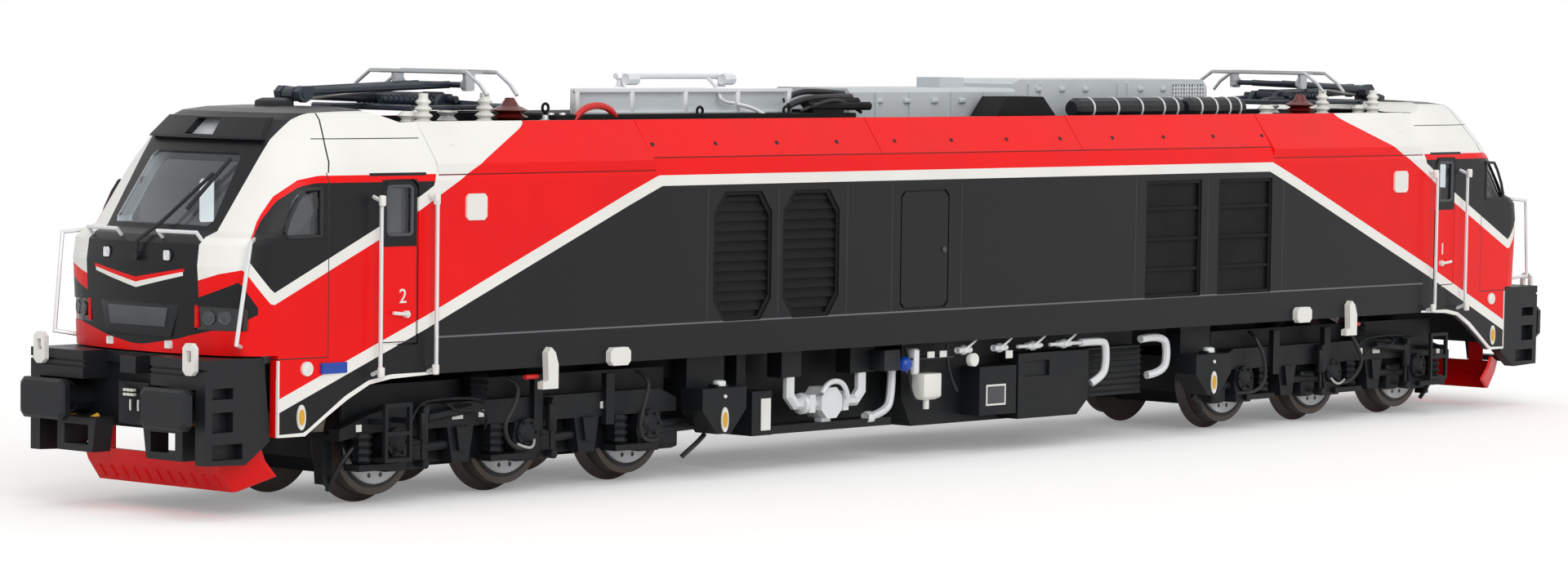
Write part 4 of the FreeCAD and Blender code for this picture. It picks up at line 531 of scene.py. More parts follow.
def looks(way, least=0.9, near=None, within=0.1):
    """Test for faces that look along "+y" or "-y", or along "y" both ways, near a place if given."""
    axis = "xyz".index(way[-1])

    def test(centre, normal):
        along = {"+": normal[axis], "-": -normal[axis]}.get(way[0], abs(normal[axis]))
        return along > least and all(abs(getattr(centre, k) - v) < within for k, v in (near or {}).items())
    return test


def pick(piece, test=lambda centre, normal: True):
    """Enters edit mode with those faces selected whose centre in millimetres and normal pass."""
    choose(piece)
    bpy.ops.object.mode_set(mode="EDIT")
    bpy.ops.mesh.select_mode(type="FACE")
    bpy.ops.mesh.select_all(action="DESELECT")
    bpy.ops.object.mode_set(mode="OBJECT")
    for face in piece.data.polygons:
        c = face.center / MM
        face.select = bool(test(Vector((c.x, c.y, c.z - RAIL)), face.normal))
    bpy.ops.object.mode_set(mode="EDIT")


def inset(piece, test, border, depth):
    """Insets the picked faces by a border and sinks them, or raises them when depth is negative."""
    pick(piece, test)
    bpy.ops.mesh.inset(thickness=border * MM, depth=-depth * MM)
    bpy.ops.object.mode_set(mode="OBJECT")


def joined(pieces, name):
    """One object from several."""
    deselect()
    for piece in pieces:
        piece.select_set(True)
    bpy.context.view_layer.objects.active = pieces[0]
    bpy.ops.object.join()
    pieces[0].name = name
    return pieces[0]

# %% [markdown]
# Much repeats on the four corners of a locomotive. So each fitting is made once, near the +X end on
# the +Y side, then copied with its own mesh and mirrored. A mirror turns a mesh inside out, so its
# faces are turned back. Every copy rides on the body of its own end.

# %% Helpers that finish and copy a piece
CORNERS, ENDS, SIDES = ("x", "y", "xy"), ("x",), ("y",)


def done(piece, material, body="body", rounded=0.0, angle=35):
    """Breaks the edges, smooths, paints and hangs a piece on its body."""
    choose(piece)
    if rounded:
        bevel = piece.modifiers.new("broken edges", "BEVEL")
        bevel.width = rounded * MM
        bevel.segments = 2
        bevel.limit_method = "ANGLE"
        bpy.ops.object.modifier_apply(modifier=bevel.name)
    bpy.ops.object.shade_smooth_by_angle(angle=math.radians(angle))
    piece.data.materials.clear()
    piece.data.materials.append(material)
    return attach(piece, body)


def copied(piece, name, shift=(0, 0, 0), flip="", body=None):
    """Copy with its own mesh, moved in millimetres and mirrored across x or y."""
    twin = piece.copy()
    twin.data = piece.data.copy()
    twin.name = name
    bpy.context.collection.objects.link(twin)
    twin.data.transform(Matrix.Translation(Vector(shift) * MM))
    for axis in flip:
        twin.data.transform(Matrix.Scale(-1, 4, Vector((axis == "x", axis == "y", 0))))
        twin.data.flip_normals()
    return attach(twin, body or piece["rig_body"])


def mirrored(piece, flips=CORNERS):
    """Mirror images of a piece at the other end and side, each on the body of its own end."""
    body = piece["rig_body"]
    for flip in flips:
        other = body.replace("_1", "_2") if "x" in flip else body
        copied(piece, piece.name + "-" + flip, flip=flip, body=other)

# %% [markdown]
# Each wheel shows a pale disc with a ring of lightening holes inside its dark tyre. The disc is
# a flat plate with a raised hub. Fourteen short drills are joined and cut out of it in one Boolean,
# so the dark wheel behind shows through the holes.

# %% Wheel discs
AXLE = 6.13  # height of the axles
axles = {f"wheelset_{n}": x for n, x in enumerate((100.6, 79.9, 59.2, -100.6, -79.9, -59.2), 1)}
bogie_axles = [x for x in axles.values() if x > 0]
wheel_face, disc_radius, hole_ring, holes = 10.0, 4.9, 4.0, 14


def on_wheels(piece, word):
    """Copies of a piece made at x = 0, one on each wheel. The pattern piece goes."""
    for body, x in axles.items():
        for side, flip in (("left", ""), ("right", "y")):
            copied(piece, f"{body}_{word}_{side}", (x, 0, 0), flip, body)
    bpy.data.objects.remove(piece)
    print(f"wheel {word}s:", 2 * len(axles))


plate = barrel("wheel_disc", (0, wheel_face - 0.1, AXLE), (0, wheel_face + 0.22, AXLE), disc_radius, 48)
inset(plate, looks("+y"), 0.35, 0.12)
hub = barrel("hub", (0, wheel_face, AXLE), (0, wheel_face + 0.75, AXLE), 1.5)
inset(hub, looks("+y"), 0.5, 0.3)
drills = []
for n in range(holes):
    turn = 2 * math.pi * n / holes
    x, z = hole_ring * math.cos(turn), AXLE + hole_ring * math.sin(turn)
    drills.append(barrel("drill", (x, wheel_face - 1, z), (x, wheel_face + 1, z), 0.3, 10))
drill = joined(drills, "drills")
cut = plate.modifiers.new("lightening holes", "BOOLEAN")
cut.object = drill
cut.solver = "EXACT"
choose(plate)
bpy.ops.object.modifier_apply(modifier=cut.name)
bpy.data.objects.remove(drill)
on_wheels(done(joined([plate, hub], "wheel_disc"), disc_grey_with_painted_light, "wheelset_1"), "disc")

# %% [markdown]
# A dark ring separates the disc from the tyre: the groove where the real tyre is shrunk on. It is
# a flat drum whose face is inset and whose middle is then pushed in behind the disc. A torus would
# be round, and the real groove has square edges.

# %% Tyre grooves
rim = barrel("tyre_groove", (0, wheel_face - 0.05, AXLE), (0, wheel_face + 0.1, AXLE), 5.35, 56)
inset(rim, looks("+y"), 0.42, 0.0)
pick(rim, looks("+y", near={"x": 0, "z": AXLE}))
bpy.ops.transform.translate(value=(0, -0.12 * MM, 0))
on_wheels(done(rim, rubber, "wheelset_1"), "groove")

# %% [markdown]
# Behind the side frame runs the long inner frame with the brake gear. It hides the upper half of
# the wheels, so only the foot of each disc shows. The plate is partly the real frame and partly a
# dark sheet of painted shade, for the deep shade between the frames. It is one plate with slanted
# ends, cut with bisect, and a sunken field between raised edges.

# %% Inner bogie frames


def sliced(piece, place, normal):
    """Cuts away what lies beyond a plane and closes the cut."""
    pick(piece)
    bpy.ops.mesh.bisect(plane_co=at(*place), plane_no=normal, use_fill=True, clear_outer=True)
    bpy.ops.object.mode_set(mode="OBJECT")


def fitting(piece, way, border, depth, material, rounded=0.0, flips=CORNERS, body="body"):
    """Insets the faces that look one way, then finishes the piece and mirrors it."""
    inset(piece, looks(way), border, depth)
    mirrored(done(piece, material, body, rounded), flips)


low_edge, ends = 3.35, (54.4, 107.0)
# Partly a dark sheet of painted shade: it hides the wheel tops, which lie in deep shade.
inner = block("inner_frame_and_shade_sheet", ends, (10.98, 11.42), (low_edge, 12.6))
for end, lean in ((ends[1], 1), (ends[0], -1)):
    sliced(inner, (end - lean * 2.4, 0, low_edge), (lean * 0.8, 0, -0.6))
fitting(inner, "+y", 0.6, 0.12, zinc_and_painted_shade, 0.06, body="bogie_1")
for number, x in enumerate(bogie_axles, 1):
    shoe = block(f"brake_unit_{number}", (x - 6.0, x - 2.8), (10.98, 12.6), (3.1, 6.4))
    inset(shoe, looks("+y"), 0.4, -0.25)
    fitting(shoe, "-z", 0.5, -0.3, zinc_and_painted_shade, 0.1, body="bogie_1")
    arm = barrel(f"guide_arm_{number}", (x - 2.0, 12.5, 5.2), (x - 8.6, 12.5, 5.4), 0.55, 14)
    fitting(arm, "x", 0.15, -0.1, zinc_and_painted_shade, body="bogie_1")
print("inner frames, brake units and guide arms: 28")

# %% [markdown]
# The bogie side is busy: bolted journal covers, upright dampers, a brake pipe along the beam, hoses
# and small blank rating plates. A cover is a drum whose face is inset twice, with six bolt heads
# joined to it. A damper is a tube over a thinner rod, with an eye across each end.

# %% Journal covers and dampers
frame_face, bolt_ring, damper_y = 13.3, 1.35, 14.1
for number, x in enumerate(bogie_axles, 1):
    parts = [barrel("cover", (x, frame_face, AXLE), (x, frame_face + 0.7, AXLE), 1.7, 28)]
    inset(parts[0], looks("+y"), 0.5, 0.15)
    inset(parts[0], looks("+y", near={"x": x, "z": AXLE}, within=0.05), 0.45, -0.3)
    for n in range(6):
        turn = n * math.pi / 3
        bolt_x, bolt_z = x + bolt_ring * math.cos(turn), AXLE + bolt_ring * math.sin(turn)
        parts.append(barrel("bolt", (bolt_x, frame_face + 0.5, bolt_z), (bolt_x, frame_face + 0.85, bolt_z),
                            0.16, 6))
    mirrored(done(joined(parts, f"journal_cover_{number}"), zinc_and_painted_shade, "bogie_1", 0.05))
for number, x in enumerate((97.0, 76.3), 1):
    parts = [barrel("tube", (x, damper_y, 6.2), (x, damper_y, 9.4), 0.62, 20)]
    inset(parts[0], looks("-z"), 0.2, 0.25)
    parts += [barrel("eye", (x, 13.2, z), (x, 14.7, z), 0.5, 16) for z in (9.6, 3.5)]
    mirrored(done(joined(parts, f"damper_{number}"), zinc_and_painted_shade, "bogie_1", 0.06))
    rod = barrel("rod", (x, damper_y, 3.7), (x, damper_y, 6.4), 0.24, 14)
    fitting(rod, "z", 0.06, 0.05, zinc_and_painted_shade, body="bogie_1")
print("journal covers: 12, dampers: 8")

# %% [markdown]
# Pipes and hoses are bent wire or rubber on the model. Each is a smooth path near a few typed
# points, given a round section and made a mesh: a bend typed point by point would look broken.

# %% Pipes, hoses and blank plates of the bogies


def wire(name, points, radius, rings=2):
    """Round wire or pipe that follows a smooth path near the points, as a mesh."""
    deselect()
    bpy.ops.curve.primitive_nurbs_path_add(location=(0, 0, 0))
    path = bpy.context.object.data
    path.splines.clear()
    spline = path.splines.new("NURBS")
    spline.points.add(len(points) - 1)
    for knot, point in zip(spline.points, points):
        knot.co = (*at(*point), 1.0)
    spline.order_u = 3
    spline.use_endpoint_u = True
    spline.resolution_u = 5
    path.bevel_depth = radius * MM
    path.bevel_resolution = rings
    path.use_fill_caps = True
    bpy.ops.object.convert(target="MESH")
    return placed(name)


def plates(table, way, flips=CORNERS, body="body"):
    """Blocks from a table of their ranges, border, depth, material and edge rounding."""
    for name, (x, y, z, border, depth, material, rounded) in table.items():
        fitting(block(name, x, y, z), way, border, depth, material, rounded, flips, body)


runs = {
    "brake_pipe": (0.2, zinc_and_painted_shade, [(98.6, 13.6, 7.8), (97.6, 13.7, 10.4), (94.5, 13.8, 10.7), (88.0, 13.8, 10.6),
                               (86.6, 13.4, 10.0)]),
    "valve_pipe": (0.16, zinc_and_painted_shade, [(93.6, 13.5, 10.3), (93.4, 14.6, 10.2), (92.6, 14.7, 9.3), (88.0, 14.6, 9.3),
                                (86.6, 14.2, 8.2), (86.5, 13.4, 7.0)]),
    "air_hose_outer": (0.26, rubber, [(83.2, 13.0, 12.6), (82.0, 14.6, 12.2), (83.4, 15.3, 9.6),
                                      (85.2, 15.1, 7.4), (83.6, 14.6, 4.9), (80.6, 14.0, 4.3),
                                      (78.4, 13.4, 4.6)]),
    "air_hose_inner": (0.24, rubber, [(61.0, 13.0, 12.4), (60.2, 14.8, 11.8), (61.8, 15.2, 8.6),
                                      (62.4, 14.9, 5.6), (60.4, 14.4, 4.0), (57.6, 13.5, 4.2)]),
    "bright_elbow": (0.17, nickel, [(82.0, 14.2, 5.0), (80.6, 14.5, 4.4), (79.4, 14.4, 4.6),
                                    (79.0, 14.0, 5.3)]),
    "sand_pipe_outer": (0.3, rubber, [(104.6, 12.6, 7.2), (107.0, 12.2, 5.0), (107.6, 10.6, 2.2),
                                      (107.4, 9.6, 0.9)]),
    "sand_pipe_inner": (0.3, rubber, [(48.6, 12.8, 4.2), (49.8, 12.9, 3.4), (51.2, 12.6, 2.4),
                                      (51.8, 12.0, 1.6)]),
}
for name, (radius, material, points) in runs.items():
    body = "body" if name == "sand_pipe_inner" else "bogie_1"
    mirrored(done(wire(name, points, radius), material, body))
centres = ((106.2, 8.0, 0.4, 0.4), (90.8, 8.7, 0.85, 0.45), (87.0, 8.7, 0.4, 0.4), (66.9, 8.7, 0.4, 0.4))
plates({f"bogie_plate_{n}": ((x - wide, x + wide), (frame_face - 0.05, frame_face + 0.12),
                             (z - tall, z + tall), 0.16, 0.06, white_abs, 0.03)
        for n, (x, z, wide, tall) in enumerate(centres, 1)}, "+y", body="bogie_1")
print("bogie pipes:", 4 * len(runs), "plates:", 4 * len(centres))

# %% [markdown]
# The nose carries a glossy panel that follows its curve. A plan arc of about 42 mm radius fits the
# nose, so the panel is a slice of a wide cylinder: bisecting it with slanted planes leaves just the
# piece in front, a little proud of the body. The blank plate on it is a smaller slice.

# %% Nose panels
bow_radius, bow_front, panel_back = 41.67, 127.5, 125.9


def nose_slice(name, proud, low, high, half_low, half_high, level):
    """Slice of the nose arc, proud of it by a distance, between two heights and two slanted sides."""
    front = bow_front - 0.6 * (26.5 - level) / 9.7 + proud  # the nose leans back by 0.6 in 9.7 mm
    deselect()
    bpy.ops.mesh.primitive_cylinder_add(vertices=160, radius=bow_radius * MM, depth=(high - low) * MM,
                                        location=at(front - bow_radius, 0, (low + high) / 2))
    piece = placed(name)
    lean = math.atan2(half_high - half_low, high - low)
    for side in (1, -1):
        sliced(piece, (0, side * ((half_low + half_high) / 2), (low + high) / 2),
               (0, side * math.cos(lean), -math.sin(lean)))
    sliced(piece, (panel_back, 0, 0), (-1, 0, 0))
    return piece


mirrored(done(nose_slice("nose_panel", 0.12, 18.55, 22.15, 5.3, 6.6, 20.3), black_abs, rounded=0.06), ENDS)
mirrored(done(nose_slice("nose_plate", 0.26, 19.65, 21.75, 4.5, 4.8, 20.7), grey_abs, rounded=0.05), ENDS)
for n in range(3):
    slat = nose_slice(f"nose_slat_{n + 1}", 0.2, 18.7 + 0.3 * n, 18.85 + 0.3 * n, 4.0, 4.1, 18.8)
    mirrored(done(slat, black_abs), ENDS)
print("nose panels: 10")

# %% [markdown]
# Small lamps sit in the black mask above the chevron and at the foot of the nose. Each is a square
# lens in a round black socket. The corner clusters get two pale reflectors and a red marker strip.

# %% Lamps of the nose
fitting(barrel("small_lamp_socket", (126.6, 5.0, 27.5), (127.3, 5.0, 27.5), 0.72, 20), "+x", 0.14, 0.2,
        black_abs, 0.05)
plates({
    "small_lamp_lens": ((126.8, 127.42), (4.55, 5.4), (26.95, 28.05), 0.16, 0.07, silver_paint, 0.1),
    "low_lamp": ((126.2, 127.0), (4.35, 5.3), (17.3, 18.15), 0.15, 0.08, white_abs, 0.08),
    "red_marker": ((125.5, 126.42), (8.62, 9.0), (19.75, 22.2), 0.08, 0.05, red_abs, 0.06),
}, "+x")
for name, foot, face in (("lamp_reflector_inner", (125.2, 10.2, 20.9), (126.02, 10.43, 20.9)),
                         ("lamp_reflector_outer", (124.5, 11.85, 21.0), (125.25, 12.2, 21.0))):
    bowl = barrel(name, foot, face, 0.82)
    inset(bowl, looks("+x", 0.7), 0.2, 0.12)
    inset(bowl, looks("+x", 0.7, {"y": face[1], "z": face[2]}, 0.2), 0.25, -0.08)
    mirrored(done(bowl, reflector, rounded=0.04))
print("lamp pieces: 24")

# %% [markdown]
# The buffer beam carries a yellow coupling grip, the drawgear box, white jumper pins and, below it,
# the plough with its ribs. The drawgear box is a block with its face inset twice. One pin and one
# rib are made and then copied in rows.

# %% Buffer beam


def row(piece, shifts, flip):
    """Numbered copies of a piece, each with its mirror image. The pattern piece goes."""
    for n, shift in enumerate(shifts, 1):
        twin = copied(piece, f"{piece.name}_{n}", shift)
        copied(twin, f"{twin.name}-{flip}", flip=flip)
    bpy.data.objects.remove(piece)


grip = wire("coupling_grip", [(127.3, 6.2, 9.3), (128.3, 6.3, 8.8), (128.4, 8.2, 8.7), (128.3, 10.1, 8.9),
                              (127.3, 10.2, 9.3)], 0.33)
mirrored(done(grip, yellow_abs))
draw = block("drawgear_box", (125.9, 127.6), (-2.5, 2.5), (8.7, 13.4))
inset(draw, looks("+x"), 0.35, 0.3)
inset(draw, lambda c, n: n.x > 0.9 and abs(c.y) < 0.5 and 10 < c.z < 12, 0.8, 0.4)
mirrored(done(draw, black_abs, rounded=0.12), ENDS)
pin = block("jumper_pin", (127.2, 127.75), (0.55, 0.95), (12.3, 12.6))
inset(pin, looks("+x"), 0.06, -0.08)
row(done(pin, white_abs, rounded=0.04), [(0, y, z) for y in (0, 0.6, -0.6) for z in (0, -0.5)], "x")
for number, y in ((1, 0.8), (2, -0.5)):
    hook = wire(f"jumper_bar_{number}", [(127.3, y, 11.4), (127.36, y, 10.8), (127.3, y, 10.2)], 0.12)
    mirrored(done(hook, white_abs), ENDS)
rib = barrel("plough_rib", (123.25, 0, 2.15), (124.2, 0, 3.45), 0.15, 8)
inset(rib, looks("+z", 0.7), 0.04, -0.05)
row(done(rib, plough_lacquer), [(0, n * 1.9, 0) for n in range(-5, 6)], "x")
print("jumper pins: 12, plough ribs: 22")

# %% [markdown]
# The cab sides carry small loose fittings: the door handle, a cap, a blank sign, the oval gauge
# and the rubber seals round the windows. The side draws in towards the nose, so a helper gives the
# half width of the body at any place.

# %% Cab sides


def flank_at(x):
    """Half width of the body side, which draws in towards the nose."""
    return HALF_WIDTH - DRAW_IN * max(0.0, x - CAB_START)


boss = barrel("boss", (102.0, flank_at(102) - 0.2, 20.75), (102.0, flank_at(102) + 0.45, 20.75), 0.4, 16)
inset(boss, looks("+y"), 0.12, 0.08)
lever = wire("lever", [(101.9, flank_at(102) + 0.4, 20.75), (102.8, flank_at(102) + 0.55, 20.8),
                       (104.2, flank_at(104) + 0.5, 20.95)], 0.2)
mirrored(done(joined([boss, lever], "door_handle"), white_abs))
cap_x, cap_z = 116.2, 15.2
cap = barrel("side_cap", (cap_x, flank_at(116) - 0.2, cap_z), (cap_x, flank_at(116) + 0.3, cap_z), 0.8)
inset(cap, looks("+y"), 0.22, 0.1)
inset(cap, looks("+y", near={"x": cap_x, "z": cap_z}), 0.2, -0.1)
mirrored(done(cap, white_abs, rounded=0.04))
plates({"blank_blue_sign": ((110.4, 114.2), (flank_at(114.2) - 0.05, flank_at(110.4) + 0.1), (14.55, 15.75),
                            0.14, 0.04, blue_abs, 0.05)}, "+y", ("xy",))
for number, x in enumerate((98.5, 106.9), 1):
    for level, z in (("top", 33.5), ("foot", 14.5)):
        knob = barrel(f"rail_knob_{number}_{level}", (x, 17.6, z - 0.5), (x, 17.6, z + 0.5), 0.42, 12)
        fitting(knob, "z", 0.12, -0.1, white_abs, 0.08)
print("body half width at the door:", round(flank_at(102), 2), "mm")

# %% [markdown]
# Two gauges show as upright ovals, a white rim with a yellow strip in it. A round drum is stretched
# upwards about its own middle. A seal is a chain of short rubber rods round the window.

# %% Gauges and window seals
rim_radius = 0.62


def gauge(name, x, y, low, high):
    """Oval gauge between two heights."""
    middle = (low + high) / 2
    stretch = (high - low) / 2 / rim_radius
    for part, radius, proud, material in (("rim", rim_radius, 0.16, white_abs),
                                          ("strip", 0.38, 0.24, yellow_abs)):
        oval = barrel(f"{name}_{part}", (x, y - 0.1, middle), (x, y + proud, middle), radius)
        pick(oval)
        bpy.ops.transform.resize(value=(1, 1, stretch), center_override=at(x, y, middle))
        fitting(oval, "+y", 0.1, 0.04, material)


gauge("skirt_gauge", 116.9, flank_at(116.9), 8.5, 11.3)
gauge("hopper_gauge", 48.8, 16.2, 4.7, 7.7)
seals = {
    "door_window_seal": (grey_abs, [(101.1, 29.9), (101.1, 34.7), (101.4, 35.0), (104.4, 35.0), (104.7, 34.7),
                                    (104.7, 29.9), (104.4, 29.6), (101.4, 29.6), (101.1, 29.9)]),
    "side_window_seal": (rubber, [(114.2, 29.7), (114.2, 34.9), (116.5, 34.8), (117.5, 33.6), (118.6, 31.8),
                                  (119.2, 30.2), (119.0, 29.7), (118.0, 29.6), (114.2, 29.7)]),
}
for name, (material, outline) in seals.items():
    rods = [barrel("run", (xa, flank_at(xa) - 0.05, za), (xb, flank_at(xb) - 0.05, zb), 0.2, 8)
            for (xa, za), (xb, zb) in zip(outline, outline[1:])]
    mirrored(done(joined(rods, name), material))
print("window seals:", 4 * len(seals))

# %% [markdown]
# A plain number marks each cab door. It is real geometry: a text object, given thickness and made
# a mesh before it is stood up against the side. The far side gets its own copy, turned half a
# turn about the door, because a mirrored number would read backwards.

# %% Cab numbers
for number, end in ((1, 1), (2, -1)):
    for side in (-1, 1):
        deselect()
        bpy.ops.object.text_add()
        text = bpy.context.object.data
        text.body = str(number)
        text.size = 2.3 * MM
        text.extrude = 0.1 * MM
        text.align_x = "CENTER"
        bpy.ops.object.convert(target="MESH")
        digit = bpy.context.object
        digit.location = at(end * 102.4, side * flank_at(102.4), 22.0)
        digit.rotation_euler = (math.pi / 2, 0, 0 if side < 0 else math.pi)
        done(placed(f"cab_number_{number}_{'near' if side < 0 else 'far'}"), white_abs)
print("cab numbers: 4")

# %% [markdown]
# Along the body sit the red jacking spindles, the lock of the service door and a row of bolt heads
# that holds the roof. One bolt is made and copied at an even pitch along both edges.

# %% Small fittings along the body
first_bolt, bolt_pitch = -93.5, 11.0
spindle = barrel("jack_spindle", (80.6, 16.0, 12.8), (82.7, 16.0, 12.8), 0.28, 14)
fitting(spindle, "x", 0.1, 0.06, red_hose, 0.05)
bolt = barrel("roof_bolt", (0, 14.55, 39.0), (0, 14.85, 39.2), 0.3, 8)
inset(bolt, looks("+y", 0.6), 0.08, 0.05)
row(done(bolt, black_abs), [(first_bolt + bolt_pitch * n, 0, 0) for n in range(18)], "y")
fitting(barrel("service_lock", (-8.6, 16.3, 25.6), (-8.6, 16.62, 25.6), 0.35, 12), "+y", 0.1, 0.08, grey_abs,
        flips=SIDES)
print("roof bolts: 36")

# %% [markdown]
# Under the floor hang the small air and water fittings: a white filter pot on its stand, a blue ball
# valve, and a row of shut-off cocks on a thin silver pipe. Each is a few simple forms, joined: the
# cock is a tube, a hexagon nut and a bent lever.

# %% Filter, valve and cocks
pot = block("filter_pot", (-10.6, -7.2), (13.2, 15.3), (6.9, 9.9))
inset(pot, looks("+y"), 0.4, -0.12)
inset(pot, looks("-z"), 0.6, -0.35)
tip = barrel("tip", (-8.9, 14.2, 5.3), (-8.9, 14.2, 6.9), 0.4, 16)
inset(tip, looks("-z"), 0.2, 0.2)
mirrored(done(joined([pot, tip], "filter_pot"), white_abs, rounded=0.3), SIDES)
legs = [[(-13.6, 14.6, 13.4), (-12.9, 14.7, 11.6), (-12.7, 14.7, 7.6), (-11.2, 14.4, 6.6)],
        [(-5.4, 14.6, 13.4), (-5.6, 14.7, 11.8), (-4.6, 14.6, 9.0), (-3.0, 14.3, 7.4)]]
stand = [*(wire("leg", points, 0.22) for points in legs),
         block("shelf", (-13.4, -4.8), (13.6, 15.2), (11.7, 12.0))]
mirrored(done(joined(stand, "filter_stand"), black_abs, rounded=0.05), SIDES)
deselect()
bpy.ops.mesh.primitive_uv_sphere_add(segments=20, ring_count=12, radius=0.95 * MM,
                                     location=at(-14.0, 14.9, 11.3))
ball = placed("ball")
inset(ball, looks("+y", 0.93), 0.12, 0.1)
stub = barrel("stub", (-15.6, 14.6, 11.3), (-12.4, 14.6, 11.3), 0.45, 14)
mirrored(done(joined([ball, stub], "ball_valve"), blue_abs), SIDES)
tube = barrel("tube", (-1.3, 15.0, 12.6), (1.3, 15.0, 12.6), 0.42, 14)
inset(tube, looks("x"), 0.12, 0.1)
collar = barrel("collar", (-0.35, 15.0, 12.6), (0.35, 15.0, 12.6), 0.6, 6)
handle = wire("handle", [(0.2, 15.3, 12.8), (0.8, 15.7, 13.3), (1.5, 15.8, 13.9)], 0.16)
cock = done(joined([tube, collar, handle], "cock"), silver_paint)
row(cock, [(x, 0, 0) for x in (-2.6, 4.6, 11.4, 17.8)], "y")
print("shut-off cocks: 8")

# %% [markdown]
# The cases under the floor carry blank plates and tags. Each is a thin block with a sunken face, the
# shape of a real enamel plate, so its rim catches the light.

# %% Plates under the floor
case_side, half_tag = 14.6, 0.65
plates({"pipe_union": ((-12.7, -11.7), (14.0, 15.4), (10.1, 13.0), 0.2, -0.2, silver_paint, 0.1)}, "z", SIDES)
plates({
    "valve_body": ((-18.4, -15.4), (13.0, 15.4), (10.6, 13.2), 0.4, 0.3, black_abs, 0.12),
    "case_plate": ((2.5, 6.4), (case_side - 0.05, case_side + 0.14), (5.2, 7.9), 0.18, 0.06, white_abs, 0.06),
    "case_plate_field": ((2.75, 6.15), (case_side, case_side + 0.13), (5.45, 7.65), 0.3, 0.03, grey_abs,
                         0.03),
    "pump_label": ((-39.4, -37.7), (13.55, 13.74), (4.2, 8.1), 0.14, 0.05, white_abs, 0.05),
}, "+y", SIDES)
plates({f"tag_{n}": ((x - half_tag, x + half_tag), (15.2, 15.4), z, 0.12, 0.04, white_abs, 0.05)
        for n, (x, z) in enumerate(((-9.4, (11.9, 12.7)), (-7.0, (11.9, 12.7)), (6.2, (11.2, 12.2))), 1)},
       "+y", SIDES)
disc = barrel("white_disc", (-0.9, 14.7, 11.3), (-0.9, 15.5, 11.3), 0.85, 20)
fitting(disc, "+y", 0.2, 0.08, white_abs, 0.05, SIDES)
print("plates, tags and bodies under the floor: 18")

# %% [markdown]
# The cooling water runs in fat silver pipes with wide bends, flanged where they meet the pump. The
# sand hoppers have a round lid and one stud.

# %% Cooling pipes and hopper fittings
bends = {
    "cooling_pipe_1": (0.52, [(21.0, 15.2, 12.6), (25.4, 15.2, 12.7), (26.4, 15.2, 12.2), (26.5, 15.2, 9.6),
                               (26.1, 15.0, 8.0), (24.4, 14.4, 7.1)]),
    "cooling_pipe_2": (0.54, [(34.6, 14.6, 12.5), (39.6, 14.7, 13.0), (40.4, 14.7, 10.4), (39.8, 14.6, 7.9),
                              (36.6, 14.2, 7.6)]),
    "cooling_pipe_3": (0.54, [(-14.0, 12.8, 11.6), (-14.0, 12.8, 7.4), (-15.0, 12.8, 5.2),
                              (-18.4, 12.8, 4.7)]),
    "pump_bypass": (0.34, [(-29.0, 14.4, 8.4), (-28.2, 14.5, 9.8), (-24.8, 14.5, 9.6), (-24.0, 14.2, 7.6)]),
    "thin_pipe_1": (0.24, [(8.0, 15.2, 12.6), (9.4, 15.2, 12.6), (13.0, 15.2, 12.6)]),
    "thin_pipe_2": (0.24, [(14.6, 15.2, 12.6), (16.0, 15.2, 12.6), (21.4, 15.2, 12.6)]),
}
for name, (radius, points) in bends.items():
    mirrored(done(wire(name, points, radius), silver_paint), SIDES)
for n, x in enumerate((-30.6, -23.6), 1):
    flange = barrel(f"pump_flange_{n}", (x - 0.3, 12.4, 7.0), (x + 0.3, 12.4, 7.0), 1.35, 12)
    fitting(flange, "x", 0.3, -0.12, silver_paint, 0.06, SIDES)
nut = barrel("pipe_nut", (-19.0, 12.8, 4.7), (-17.9, 12.8, 4.7), 0.8, 6)
fitting(nut, "x", 0.2, 0.1, silver_paint, 0.05, SIDES)
lid = barrel("hopper_lid", (48.8, 15.3, 10.2), (48.8, 15.3, 10.75), 0.8, 16)
fitting(lid, "+z", 0.25, -0.15, silver_paint, 0.06)
stud = barrel("hopper_stud", (48.8, 16.15, 9.0), (48.8, 16.4, 9.0), 0.22, 10)
fitting(stud, "+y", 0.06, 0.05, white_abs)
print("pipes under the floor:", 2 * len(bends))

# %% [markdown]
# The roof is full of loose equipment. The reservoirs get their strap bands, a red hose loops over
# the cooler edge, and an aerial housing stands on each cab, its top inset, raised and drawn in.

# %% Roof fittings
tank_y, tank_axis = -8.9, 42.85
for n, x in enumerate((29.4, 34.6, 39.8, 44.6, 47.6, 53.0, 56.4, 59.4, 61.8), 1):
    strap = barrel(f"tank_strap_{n}", (x - 0.16, tank_y, tank_axis), (x + 0.16, tank_y, tank_axis), 1.54)
    fitting(strap, "x", 0.2, 0.04, silver_paint, 0.04, ())
done(wire("red_hose", [(-69.8, -10.6, 41.6), (-68.8, -10.8, 43.1), (-65.8, -10.9, 43.9), (-62.8, -10.8, 43.0),
                       (-62.0, -10.4, 41.6)], 0.42), red_hose)
aerial = block("aerial_housing", (105.4, 108.6), (-1.6, 1.6), (43.0, 44.2))
inset(aerial, looks("+z"), 0.35, -0.3)
bpy.ops.object.mode_set(mode="EDIT")
bpy.ops.transform.resize(value=(0.8, 0.8, 1))
mirrored(done(aerial, black_abs, rounded=0.15), ENDS)
print("tank straps: 9")

# %% [markdown]
# The two cooling fans sit behind a pale fence. It is packed as one box; here it gets the slanted
# end, the thin top rail and the upright ribs that show on its near side.

